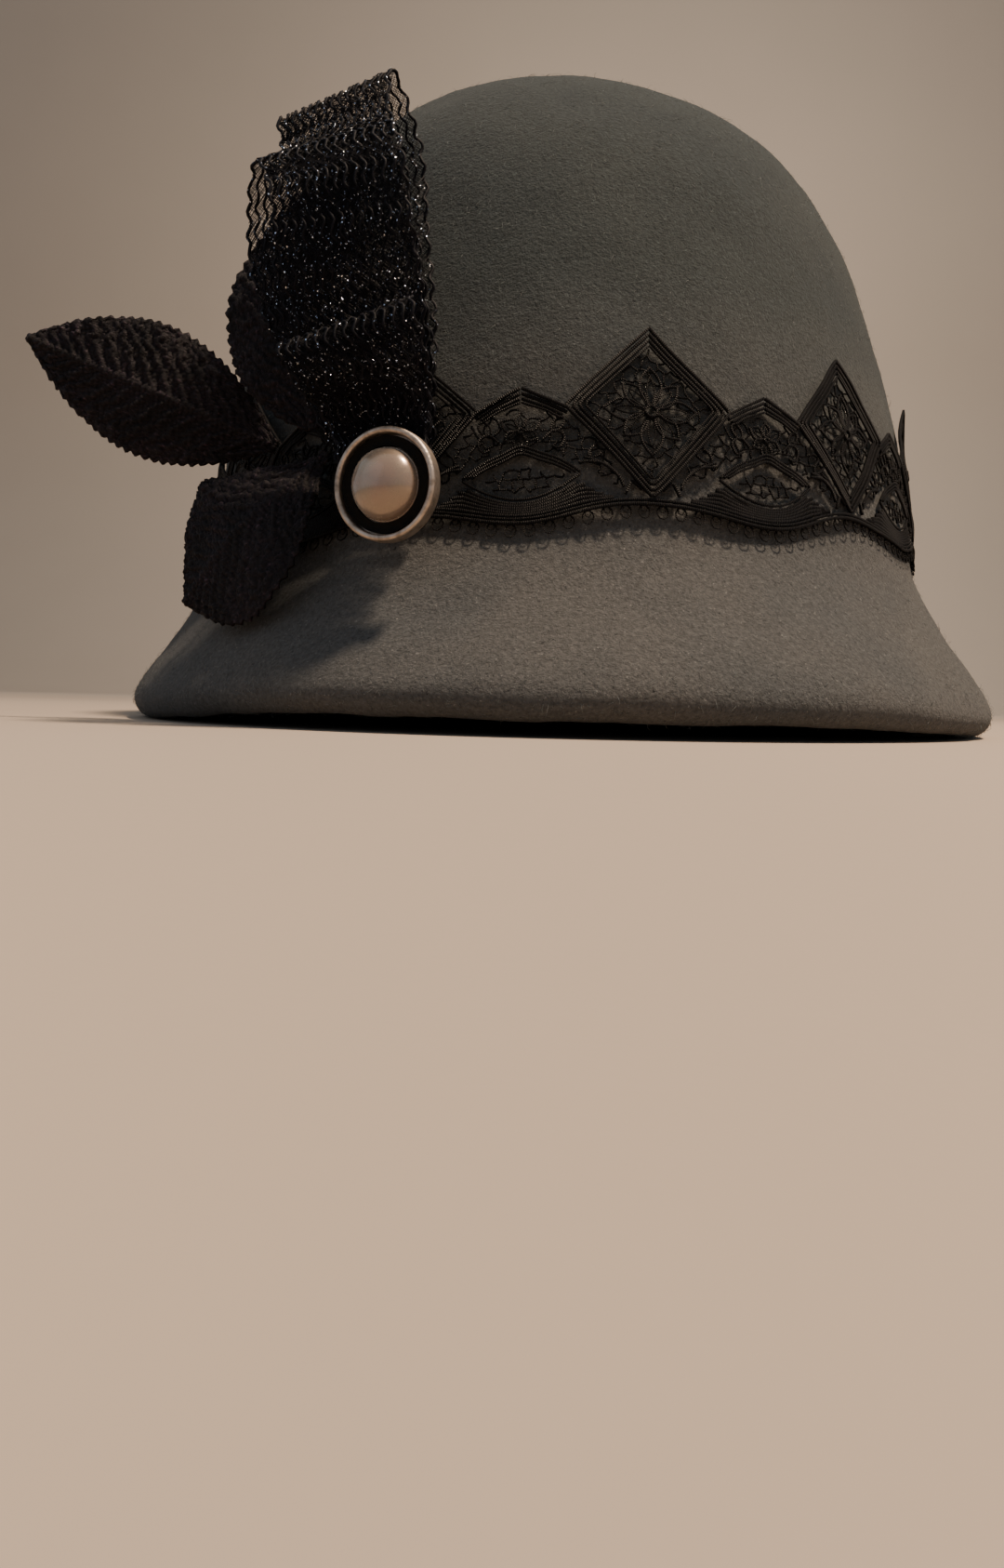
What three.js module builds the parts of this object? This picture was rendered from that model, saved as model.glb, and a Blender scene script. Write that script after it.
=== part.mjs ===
// Cloche hat: a blocked felt shell with a lace band, net ribbon loops, velvet leaves and a pearl button.
// Millimetres, +Z up, the front of the hat towards -Y and its left side towards -X.
import * as THREE from 'three';

// Felt shell
const FELT_THICKNESS = 2.5;
const FELT_COLUMNS = 52;
const CROWN_HEIGHT = 152;
const CROWN_LEAN = -4;
const LEAN_START = 36;
const FRONT_LIFT = 2.5;
const LIFT_FADE = 30;
const LIFT_EDGE = 0.5;

// Outer surface of the felt, one row for each section from the crown's top down to the brim's edge.
const FELT_SECTIONS = [
  { height: 151.4, halfWidth: 9.4, halfDepth: 10.9 },
  { height: 149.5, halfWidth: 20.5, halfDepth: 23.9 },
  { height: 146, halfWidth: 33.1, halfDepth: 38.6 },
  { height: 140.6, halfWidth: 45.3, halfDepth: 52.8 },
  { height: 133.9, halfWidth: 55.6, halfDepth: 65 },
  { height: 126.1, halfWidth: 63.8, halfDepth: 74.5 },
  { height: 116.8, halfWidth: 70.1, halfDepth: 81.7 },
  { height: 105.4, halfWidth: 74.9, halfDepth: 87.6 },
  { height: 93, halfWidth: 78.7, halfDepth: 92.1 },
  { height: 81, halfWidth: 82, halfDepth: 96 },
  { height: 70, halfWidth: 84.8, halfDepth: 99.2 },
  { height: 60, halfWidth: 86.6, halfDepth: 101.4 },
  { height: 50, halfWidth: 87.6, halfDepth: 102.5 },
  { height: 42, halfWidth: 88.1, halfDepth: 103.1 },
  { height: 37, halfWidth: 88.9, halfDepth: 104 },
  { height: 32.5, halfWidth: 90.6, halfDepth: 105.8 },
  { height: 26, halfWidth: 94.2, halfDepth: 109.6 },
  { height: 18, halfWidth: 99.6, halfDepth: 115.6 },
  { height: 11, halfWidth: 104.6, halfDepth: 121.2 },
  { height: 6.5, halfWidth: 107.1, halfDepth: 124.2 },
];

// Rolled edge of the brim, from the outer surface round to the inner one. Inset is measured from the rim.
const RIM_HALF_WIDTH = 107.6;
const RIM_HALF_DEPTH = 124.8;
const RIM_ROLL = [
  { height: 3.8, inset: 0 },
  { height: 1.3, inset: 1.2 },
  { height: 0, inset: 3.2 },
  { height: 0, inset: 5.2 },
  { height: 2.2, inset: 6.9 },
  { height: 7.2, inset: 7.3 },
  { height: 9.8, inset: 6.6 },
];

// Lace band, with its pattern drawn in heights above the datum line, which climbs a little towards +X
const LACE_REPEATS = 13;
const LACE_PEAK_TURN = 10.6;
const LACE_DATUM = 40.2;
const LACE_CLIMB = 0.04;
const LACE_GAP = 0.35;
const LACE_THICKNESS = 1.1;
const LACE_BORDER = 2.6;
const LACE_FOOT = 3.2;
const LACE_OUTLINE = [
  { along: 0, top: 31.8, bottom: -0.3 },
  { along: 0.4, top: 23, bottom: -0.9 },
  { along: 0.66, top: 17, bottom: -2 },
  { along: 1, top: 20.4, bottom: -3.5 },
];
// Half of one repeat, from the tall peak to the low one: a dot is an opening, a hash is solid lace.
const LACE_CHART = [
  '#####',
  '.####',
  '###.#',
  '.####',
  '##.#.',
  '#####',
];

// Wall round which the trim is placed: the foot of the crown
const BASE_HALF_WIDTH = 88.1;
const BASE_HALF_DEPTH = 103.1;

// Velvet leaves, each from its stem end to its tip. Facing is the way that its upper side looks.
const LEAF_THICKNESS = 0.9;
const LEAF_STATIONS = 11;
const LEAF_SPAN_STEPS = 6;
const LEAF_STEM_HALF = 1.4;
const LEAVES = [
  {
    name: 'leaf_left',
    stem: [-56.3, -82.3, 54.6],
    middle: [-80.3, -85.4, 64.4],
    tip: [-105, -84.5, 74.4],
    facing: [-0.1, -0.98, -0.05],
    halfWidth: 13,
    fullest: 0.5,
    cup: 1.6,
  },
  {
    name: 'leaf_lower',
    stem: [-43.8, -91.9, 51],
    middle: [-59.2, -96, 36.6],
    tip: [-72.6, -87.5, 23.4],
    facing: [-0.39, -0.88, 0.24],
    halfWidth: 16.5,
    fullest: 0.6,
    cup: 1,
  },
  {
    name: 'leaf_back',
    stem: [-47.2, -89.9, 56],
    middle: [-50.5, -88.6, 79],
    tip: [-46, -86, 103],
    facing: [-0.26, -0.96, 0.02],
    halfWidth: 15.4,
    fullest: 0.45,
    cup: -0.6,
  },
];

// Loops of net ribbon. Each row is a place along the ribbon: turn round the crown in degrees (left is
// negative), distance out from the foot of the crown, height, width, rise of the width line to the
// right in degrees, and the way the face looks in degrees (left of straight ahead is positive).
const RIBBON_THICKNESS = 0.8;
const RIBBON_STEPS = 28;
const LOOPS = [
  {
    name: 'net_loop_back',
    rows: [
      { turn: -19.2, out: 4.2, height: 42, width: 15, rise: 0, face: 22 },
      { turn: -19.9, out: 4.3, height: 54, width: 19, rise: 3, face: 20 },
      { turn: -20.5, out: 7.4, height: 70, width: 23, rise: 8, face: 26 },
      { turn: -22.3, out: 9.2, height: 88, width: 23, rise: 11, face: 28 },
      { turn: -25.1, out: 8, height: 103, width: 23, rise: 13, face: 26 },
      { turn: -27.5, out: 3.6, height: 114, width: 23, rise: 13, face: 15 },
      { turn: -26.1, out: -0.6, height: 103, width: 23, rise: 11, face: 6 },
      { turn: -24.6, out: 0.2, height: 88, width: 23, rise: 8, face: 6 },
      { turn: -22.5, out: 2.1, height: 70, width: 23, rise: 4, face: 10 },
      { turn: -20.9, out: 2.6, height: 54, width: 19, rise: 2, face: 20 },
      { turn: -19.8, out: 2.5, height: 42, width: 15, rise: 0, face: 22 },
      { turn: -19.4, out: 3.35, height: 40, width: 15, rise: 0, face: 22 },
    ],
  },
  {
    name: 'net_loop_front',
    rows: [
      { turn: -18.6, out: 7.5, height: 42, width: 15, rise: 0, face: 22 },
      { turn: -19.4, out: 7.6, height: 54, width: 19, rise: 3, face: 20 },
      { turn: -19.4, out: 13.2, height: 68, width: 22, rise: 8, face: 12 },
      { turn: -19.5, out: 19.2, height: 82, width: 22.5, rise: 11, face: 6 },
      { turn: -20.4, out: 19.8, height: 93, width: 22.5, rise: 13, face: 6 },
      { turn: -23.8, out: 16, height: 99, width: 22.5, rise: 13, face: 10 },
      { turn: -26.9, out: 12.2, height: 93, width: 24, rise: 11, face: 20 },
      { turn: -26.6, out: 11.8, height: 82, width: 24, rise: 8, face: 24 },
      { turn: -24, out: 10, height: 68, width: 23, rise: 6, face: 24 },
      { turn: -21, out: 6, height: 54, width: 19, rise: 3, face: 21 },
      { turn: -19, out: 5.8, height: 42, width: 15, rise: 0, face: 22 },
      { turn: -18.8, out: 6.65, height: 40, width: 15, rise: 0, face: 22 },
    ],
  },
  {
    name: 'net_loop_low',
    rows: [
      { turn: -17.8, out: 10.75, height: 42, width: 14.5, rise: 0, face: 22 },
      { turn: -18.3, out: 10.95, height: 54, width: 19, rise: 3, face: 19 },
      { turn: -17.9, out: 17.95, height: 60, width: 22, rise: 12, face: 9 },
      { turn: -18.4, out: 20.95, height: 64.5, width: 23, rise: 17, face: 6 },
      { turn: -19.3, out: 19.15, height: 67.5, width: 23, rise: 18, face: 6 },
      { turn: -19.9, out: 16.15, height: 64.5, width: 23, rise: 15, face: 9 },
      { turn: -19.4, out: 13.15, height: 60, width: 22, rise: 9, face: 14 },
      { turn: -18.9, out: 9.25, height: 54, width: 19, rise: 3, face: 20 },
      { turn: -18.2, out: 9.05, height: 42, width: 14.5, rise: 0, face: 22 },
      { turn: -18, out: 9.9, height: 40, width: 14.5, rise: 0, face: 22 },
    ],
  },
];

// Button, turned about its own axis, with its back at zero
const BUTTON_TURN = -16.4;
const BUTTON_OUT = 11.8;
const BUTTON_HEIGHT = 41.6;
const BUTTON_SIDES = 24;
const BUTTON_RADIUS = 9.5;
const RIM_WALL = 1.1;
const RIM_DEPTH = 3.6;
const FLOOR_DEPTH = 1.6;
const SEAT_GAP = 0.3;
const INLAY_THICKNESS = 0.9;
const PEARL_RADIUS = 6.1;
const PEARL_HEIGHT = 3.9;
const PEARL_GIRDLE = 0.7;
const PEARL_STEPS = 5;

const UP = new THREE.Vector3(0, 0, 1);
const radians = THREE.MathUtils.degToRad;

const finishes = {
  felt: new THREE.MeshStandardMaterial({ color: 0x646b67, roughness: 0.98, metalness: 0 }),
  lace: new THREE.MeshStandardMaterial({ color: 0x111114, roughness: 0.75, metalness: 0 }),
  velvet: new THREE.MeshStandardMaterial({ color: 0x14121a, roughness: 0.6, metalness: 0 }),
  net: new THREE.MeshStandardMaterial({ color: 0x0c0d12, roughness: 0.5, metalness: 0 }),
  rim: new THREE.MeshStandardMaterial({ color: 0xb0a68f, roughness: 0.35, metalness: 1 }),
  inlay: new THREE.MeshStandardMaterial({ color: 0x17150f, roughness: 0.55, metalness: 0 }),
  pearl: new THREE.MeshStandardMaterial({ color: 0xe9e2d2, roughness: 0.2, metalness: 0 }),
};

// Straight-line reading of a table between the two rows around a value
function readTable(rows, key, value, column) {
  const rising = rows[0][key] < rows[rows.length - 1][key];
  const ordered = rising ? rows : [...rows].reverse();
  let upper = ordered.findIndex((row) => row[key] >= value);
  upper = upper < 0 ? ordered.length - 1 : Math.max(upper, 1);
  const low = ordered[upper - 1];
  const high = ordered[upper];
  const share = (value - low[key]) / (high[key] - low[key]);
  return THREE.MathUtils.lerp(low[column], high[column], THREE.MathUtils.clamp(share, 0, 1));
}

// Sideways lean of the crown at a height
function leanAt(height) {
  return CROWN_LEAN * Math.max(0, (height - LEAN_START) / (CROWN_HEIGHT - LEAN_START));
}

// Rise of the brim's front edge, which fades out sideways and up the brim
function liftAt(turn, height) {
  const share = Math.max(0, (Math.cos(turn) - LIFT_EDGE) / (1 - LIFT_EDGE));
  const fade = THREE.MathUtils.clamp(1 - height / LIFT_FADE, 0, 1);
  return FRONT_LIFT * share * share * (3 - 2 * share) * fade;
}

// Point of an elliptical section, pushed out level from its edge
function sectionPoint(turn, height, halfWidth, halfDepth, out = 0) {
  const x = halfWidth * Math.sin(turn);
  const y = -halfDepth * Math.cos(turn);
  const outward = new THREE.Vector3(x / halfWidth ** 2, y / halfDepth ** 2, 0).normalize();
  return new THREE.Vector3(x, y, height).addScaledVector(outward, out);
}

// Point on the felt's outer surface, or at a distance out from it
function feltPoint(turn, height, out = 0) {
  const halfWidth = readTable(FELT_SECTIONS, 'height', height, 'halfWidth');
  const halfDepth = readTable(FELT_SECTIONS, 'height', height, 'halfDepth');
  const point = sectionPoint(turn, height, halfWidth, halfDepth, out);
  point.x += leanAt(height);
  return point;
}

// Point beside the foot of the crown
function besideCrown(turn, out, height) {
  return sectionPoint(turn, height, BASE_HALF_WIDTH, BASE_HALF_DEPTH, out);
}

// Geometry from shared vertices and triangles
function meshGeometry(points, triangles) {
  const geometry = new THREE.BufferGeometry();
  geometry.setAttribute('position', new THREE.Float32BufferAttribute(points.flatMap((p) => p.toArray()), 3));
  geometry.setIndex(triangles.flat());
  geometry.computeVertexNormals();
  return geometry;
}

// Closed body from a row of rings with equal numbers of points. The row either runs round into itself
// or ends in a point at each end.
function ringBody(rings, ends = null) {
  const size = rings[0].length;
  const points = rings.flat();
  const triangles = [];
  const last = ends ? rings.length - 1 : rings.length;
  for (let row = 0; row < last; row += 1) {
    const next = (row + 1) % rings.length;
    for (let column = 0; column < size; column += 1) {
      const beside = (column + 1) % size;
      const a = row * size + column;
      const b = row * size + beside;
      const c = next * size + beside;
      const d = next * size + column;
      triangles.push([a, d, c], [a, c, b]);
    }
  }
  if (ends) {
    const first = points.length;
    points.push(ends[0], ends[1]);
    for (let column = 0; column < size; column += 1) {
      const beside = (column + 1) % size;
      const top = (rings.length - 1) * size;
      triangles.push([first, column, beside], [first + 1, top + beside, top + column]);
    }
  }
  return meshGeometry(points, triangles);
}

// The felt's inner surface: each section drawn in by the thickness of the felt
function innerSections() {
  return FELT_SECTIONS.map((row, index) => {
    const above = FELT_SECTIONS[Math.max(index - 1, 0)];
    const below = FELT_SECTIONS[Math.min(index + 1, FELT_SECTIONS.length - 1)];
    const drop = above.height - below.height;
    const side = Math.hypot(drop, below.halfWidth - above.halfWidth);
    const front = Math.hypot(drop, below.halfDepth - above.halfDepth);
    return {
      height: row.height - FELT_THICKNESS * (below.halfWidth - above.halfWidth) / side,
      halfWidth: row.halfWidth - FELT_THICKNESS * drop / side,
      halfDepth: row.halfDepth - FELT_THICKNESS * drop / front,
    };
  });
}

function feltBody() {
  const roll = RIM_ROLL.map((row) => ({
    height: row.height,
    halfWidth: RIM_HALF_WIDTH - row.inset,
    halfDepth: RIM_HALF_DEPTH - row.inset,
  }));
  const hemTop = RIM_ROLL[RIM_ROLL.length - 1].height;
  const inner = innerSections().filter((row) => row.height > hemTop + 1).reverse();
  const sections = [...FELT_SECTIONS, ...roll, ...inner];
  const rings = sections.map((row) => {
    const ring = [];
    for (let column = 0; column < FELT_COLUMNS; column += 1) {
      const turn = 2 * Math.PI * column / FELT_COLUMNS;
      const height = row.height + liftAt(turn, row.height);
      const point = sectionPoint(turn, height, row.halfWidth, row.halfDepth);
      point.x += leanAt(row.height);
      ring.push(point);
    }
    return ring;
  });
  const crownTop = new THREE.Vector3(CROWN_LEAN, 0, CROWN_HEIGHT);
  const crownInside = new THREE.Vector3(CROWN_LEAN, 0, CROWN_HEIGHT - FELT_THICKNESS);
  return ringBody(rings, [crownTop, crownInside]);
}

// Turn at which a share of the way round the crown's foot is reached, so that repeats are equally long
function evenTurns() {
  const parts = 720;
  const lengths = [0];
  let before = besideCrown(0, 0, 0);
  for (let index = 1; index <= parts; index += 1) {
    const here = besideCrown(2 * Math.PI * index / parts, 0, 0);
    lengths.push(lengths[index - 1] + here.distanceTo(before));
    before = here;
  }
  const rows = lengths.map((length, index) => ({
    share: length / lengths[parts],
    turn: 2 * Math.PI * index / parts,
  }));
  return {
    turnAt: (share) => {
      const wrapped = share - Math.floor(share);
      return readTable(rows, 'share', wrapped, 'turn');
    },
    shareAt: (turn) => readTable(rows, 'turn', turn, 'share'),
  };
}

function laceBand() {
  const turns = evenTurns();
  const start = turns.shareAt(radians(LACE_PEAK_TURN));
  const half = LACE_CHART[0].length;
  const columns = LACE_REPEATS * 2 * half;
  const rows = LACE_CHART.length;
  const points = [];
  for (let column = 0; column < columns; column += 1) {
    const step = column % (2 * half);
    const along = (step <= half ? step : 2 * half - step) / half;
    const turn = turns.turnAt(start + column / columns);
    const datum = LACE_DATUM + LACE_CLIMB * besideCrown(turn, 0, 0).x;
    const top = datum + readTable(LACE_OUTLINE, 'along', along, 'top');
    const bottom = datum + readTable(LACE_OUTLINE, 'along', along, 'bottom');
    for (let row = 0; row <= rows; row += 1) {
      const inside = (row - 1) / (rows - 2);
      let height = THREE.MathUtils.lerp(top - LACE_BORDER, bottom + LACE_FOOT, inside);
      height = row === 0 ? top : height;
      height = row === rows ? bottom : height;
      points.push(feltPoint(turn, height, LACE_GAP), feltPoint(turn, height, LACE_GAP + LACE_THICKNESS));
    }
  }
  const corner = (column, row, side) => ((column % columns) * (rows + 1) + row) * 2 + side;
  const isSolid = (column, row) => {
    if (row < 0 || row >= rows) return false;
    const step = ((column + columns) % columns) % (2 * half);
    return LACE_CHART[row][step < half ? step : 2 * half - 1 - step] === '#';
  };
  const triangles = [];
  const quad = (a, b, c, d) => triangles.push([a, b, c], [a, c, d]);
  for (let column = 0; column < columns; column += 1) {
    for (let row = 0; row < rows; row += 1) {
      if (!isSolid(column, row)) continue;
      const [a, b] = [corner(column, row, 0), corner(column + 1, row, 0)];
      const [c, d] = [corner(column + 1, row + 1, 0), corner(column, row + 1, 0)];
      quad(a + 1, d + 1, c + 1, b + 1);
      quad(a, b, c, d);
      if (!isSolid(column, row - 1)) quad(a, a + 1, b + 1, b);
      if (!isSolid(column, row + 1)) quad(d, c, c + 1, d + 1);
      if (!isSolid(column - 1, row)) quad(a, d, d + 1, a + 1);
      if (!isSolid(column + 1, row)) quad(b, b + 1, c + 1, c);
    }
  }
  return meshGeometry(points, triangles);
}

// Half width of a leaf along its length, as a share of its greatest
function leafFullness(along, fullest) {
  const bend = Math.log(0.5) / Math.log(fullest);
  return Math.sin(Math.PI * along ** bend) ** 0.8;
}

function leafBody(leaf) {
  const stem = new THREE.Vector3(...leaf.stem);
  const middle = new THREE.Vector3(...leaf.middle);
  const tip = new THREE.Vector3(...leaf.tip);
  const midrib = new THREE.CatmullRomCurve3([stem, middle, tip]);
  const facing = new THREE.Vector3(...leaf.facing).normalize();
  const rings = [];
  for (let station = 0; station <= LEAF_STATIONS; station += 1) {
    const along = station / LEAF_STATIONS;
    const centre = midrib.getPoint(along);
    const across = new THREE.Vector3().crossVectors(facing, midrib.getTangent(along)).normalize();
    const outward = new THREE.Vector3().crossVectors(midrib.getTangent(along), across).normalize();
    const half = Math.max(leaf.halfWidth * leafFullness(along, leaf.fullest), LEAF_STEM_HALF * (1 - along / 2));
    const fill = half / leaf.halfWidth;
    const side = (sign) => {
      const line = [];
      for (let step = 0; step <= LEAF_SPAN_STEPS; step += 1) {
        const share = 2 * step / LEAF_SPAN_STEPS - 1;
        const sag = -leaf.cup * share * share * fill;
        const point = centre.clone().addScaledVector(across, share * half);
        line.push(point.addScaledVector(outward, sag + sign * LEAF_THICKNESS / 2));
      }
      return line;
    };
    rings.push([...side(1), ...side(-1).reverse()]);
  }
  const centreOf = (ring) => ring.reduce((sum, p) => sum.add(p), new THREE.Vector3()).divideScalar(ring.length);
  return ringBody(rings, [centreOf(rings[0]), centreOf(rings[rings.length - 1])]);
}

// Smooth reading of one column of a closed table of rows
function smoothColumn(rows, column) {
  return new THREE.CatmullRomCurve3(rows.map((row) => new THREE.Vector3(row[column], 0, 0)), true, 'catmullrom', 0.5);
}

function loopBody(loop) {
  const route = new THREE.CatmullRomCurve3(
    loop.rows.map((row) => besideCrown(radians(row.turn), row.out, row.height)),
    true,
  );
  const width = smoothColumn(loop.rows, 'width');
  const rise = smoothColumn(loop.rows, 'rise');
  const face = smoothColumn(loop.rows, 'face');
  const steps = RIBBON_STEPS;
  const rings = [];
  for (let step = 0; step < steps; step += 1) {
    const share = step / steps;
    const centre = route.getPoint(share);
    const yaw = radians(face.getPoint(share).x);
    const level = new THREE.Vector3(Math.cos(yaw), -Math.sin(yaw), 0);
    const tilt = radians(rise.getPoint(share).x);
    const across = level.multiplyScalar(Math.cos(tilt)).addScaledVector(UP, Math.sin(tilt));
    const outward = new THREE.Vector3().crossVectors(across, route.getTangent(share)).normalize();
    const half = width.getPoint(share).x / 2;
    const corners = [[-1, -1], [0, -1], [1, -1], [1, 1], [0, 1], [-1, 1]];
    rings.push(corners.map(([side, skin]) => centre.clone()
      .addScaledVector(across, side * half)
      .addScaledVector(outward, skin * RIBBON_THICKNESS / 2)));
  }
  return ringBody(rings);
}

// Body turned about the button's axis from rows of radius and depth
function turned(profile) {
  return new THREE.LatheGeometry(profile.map(([radius, depth]) => new THREE.Vector2(radius, depth)), BUTTON_SIDES);
}

function buttonRim() {
  return turned([
    [0, 0],
    [BUTTON_RADIUS - 1.4, 0],
    [BUTTON_RADIUS, 1.5],
    [BUTTON_RADIUS, RIM_DEPTH - 1],
    [BUTTON_RADIUS - RIM_WALL / 2, RIM_DEPTH],
    [BUTTON_RADIUS - RIM_WALL, RIM_DEPTH - 0.6],
    [BUTTON_RADIUS - RIM_WALL, FLOOR_DEPTH],
    [0, FLOOR_DEPTH],
  ]);
}

function buttonInlay() {
  const inner = PEARL_RADIUS + SEAT_GAP;
  const outer = BUTTON_RADIUS - RIM_WALL - SEAT_GAP;
  const low = FLOOR_DEPTH + SEAT_GAP;
  const high = low + INLAY_THICKNESS;
  return turned([[inner, low], [outer, low], [outer, high], [inner, high], [inner, low]]);
}

function buttonPearl() {
  const low = FLOOR_DEPTH + SEAT_GAP;
  const profile = [[0, low], [PEARL_RADIUS - 0.4, low]];
  for (let step = 0; step < PEARL_STEPS; step += 1) {
    const angle = Math.PI / 2 * step / PEARL_STEPS;
    profile.push([PEARL_RADIUS * Math.cos(angle), low + PEARL_GIRDLE + PEARL_HEIGHT * Math.sin(angle)]);
  }
  profile.push([0, low + PEARL_GIRDLE + PEARL_HEIGHT]);
  return turned(profile);
}

function namedMesh(name, geometry, finish) {
  const mesh = new THREE.Mesh(geometry, finish);
  mesh.name = name;
  return mesh;
}

const button = new THREE.Group();
button.add(namedMesh('button_rim', buttonRim(), finishes.rim));
button.add(namedMesh('button_inlay', buttonInlay(), finishes.inlay));
button.add(namedMesh('button_pearl', buttonPearl(), finishes.pearl));
button.position.copy(besideCrown(radians(BUTTON_TURN), BUTTON_OUT, BUTTON_HEIGHT));
const buttonBack = besideCrown(radians(BUTTON_TURN), 0, BUTTON_HEIGHT);
const buttonAxis = button.position.clone().sub(buttonBack).normalize();
button.quaternion.setFromUnitVectors(new THREE.Vector3(0, 1, 0), buttonAxis);

const trimmings = new THREE.Group();
LEAVES.forEach((leaf) => trimmings.add(namedMesh(leaf.name, leafBody(leaf), finishes.velvet)));
LOOPS.forEach((loop) => trimmings.add(namedMesh(loop.name, loopBody(loop), finishes.net)));
trimmings.add(button);

const hat = new THREE.Group();
hat.add(namedMesh('felt_body', feltBody(), finishes.felt));
hat.add(namedMesh('lace_band', laceBand(), finishes.lace));
hat.add(trimmings);

// The origin is the middle of the surface that the hat rests on, taken over its whole outline.
hat.updateMatrixWorld(true);
const outline = new THREE.Box3().setFromObject(hat, true);
const middle = outline.getCenter(new THREE.Vector3());
hat.position.set(-middle.x, -middle.y, -outline.min.z);

export default hat;
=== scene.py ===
"""Looks of a grey felt cloche hat: felt, guipure lace, net ribbon loops, velvet leaves and a pearl button."""
import math

import bmesh
import bpy
import numpy as np
from bpy.props import FloatProperty, FloatVectorProperty, IntProperty, PointerProperty
from mathutils import Matrix, Vector


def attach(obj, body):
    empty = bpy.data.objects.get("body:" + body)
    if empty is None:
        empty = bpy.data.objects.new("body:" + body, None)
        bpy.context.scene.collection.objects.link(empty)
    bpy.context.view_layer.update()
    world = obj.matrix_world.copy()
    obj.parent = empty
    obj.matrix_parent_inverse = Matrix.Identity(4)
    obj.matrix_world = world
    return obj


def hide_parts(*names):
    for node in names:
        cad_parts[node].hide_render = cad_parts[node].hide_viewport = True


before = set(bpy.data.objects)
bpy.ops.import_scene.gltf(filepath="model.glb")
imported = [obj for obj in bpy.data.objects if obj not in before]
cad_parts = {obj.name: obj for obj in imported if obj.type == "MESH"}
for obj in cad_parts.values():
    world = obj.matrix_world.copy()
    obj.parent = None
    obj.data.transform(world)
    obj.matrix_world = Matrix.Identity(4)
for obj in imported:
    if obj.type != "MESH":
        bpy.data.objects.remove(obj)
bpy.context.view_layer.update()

bl_info = {
    "name": "Felt Cloche Hat",
    "version": (1, 0, 0),
    "blender": (4, 5, 0),
    "location": "View3D > Sidebar > Cloche",
    "description": "Dresses a felt cloche hat with lace, net loops, velvet leaves and a pearl button",
    "category": "Object",
}

BODY = "root"
MM = 0.001

# Outer surface of the crown where the trimmings lie, in millimetres: height, half width, half depth
CROWN_WALL = [
    (18.0, 99.6, 115.6),
    (26.0, 94.2, 109.6),
    (32.5, 90.6, 105.8),
    (37.0, 88.9, 104.0),
    (42.0, 88.1, 103.1),
    (50.0, 87.6, 102.5),
    (60.0, 86.6, 101.4),
    (70.0, 84.8, 99.2),
    (81.0, 82.0, 96.0),
    (93.0, 78.7, 92.1),
]
CROWN_HEIGHT = 152.0
CROWN_LEAN = -4.0
LEAN_START = 36.0
FOOT_HALF_WIDTH = 88.1
FOOT_HALF_DEPTH = 103.1

# Lace in millimetres: its place round the crown, and the heights of its outline and foot
LACE_REPEATS = 13
LACE_PEAK_TURN = 10.6
LACE_DATUM = 40.2
LACE_CLIMB = 0.04
LACE_GAP = 0.3
LACE_DRAWN_HALF = 21.5
LACE_FOOT_HIGH = -0.3
LACE_FOOT_LOW = -3.4
SATIN_ROWS = 6
PICOTS = 14
BRIDE_HALF_WIDTH = 0.23
BRIDE_HALF_HEIGHT = 0.2

# Leaves in millimetres: stem, middle and tip of the midrib, the way the upper side looks, half width,
# share of the length where the leaf is fullest, and depth of the cup
LEAVES = {
    "leaf_left": (
        (-56.3, -82.3, 54.6), (-80.3, -85.4, 64.4), (-105, -84.5, 74.4),
        (-0.1, -0.98, -0.05), 13, 0.5, 1.6),
    "leaf_lower": (
        (-43.8, -91.9, 51), (-59.2, -96, 36.6), (-72.6, -87.5, 23.4),
        (-0.39, -0.88, 0.24), 16.5, 0.6, 1),
    "leaf_back": (
        (-47.2, -89.9, 56), (-50.5, -88.6, 79), (-46, -86, 103),
        (-0.26, -0.96, 0.02), 15.4, 0.45, -0.6),
}

LEAF_ROWS = 170
LEAF_COLUMNS = 61

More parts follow.
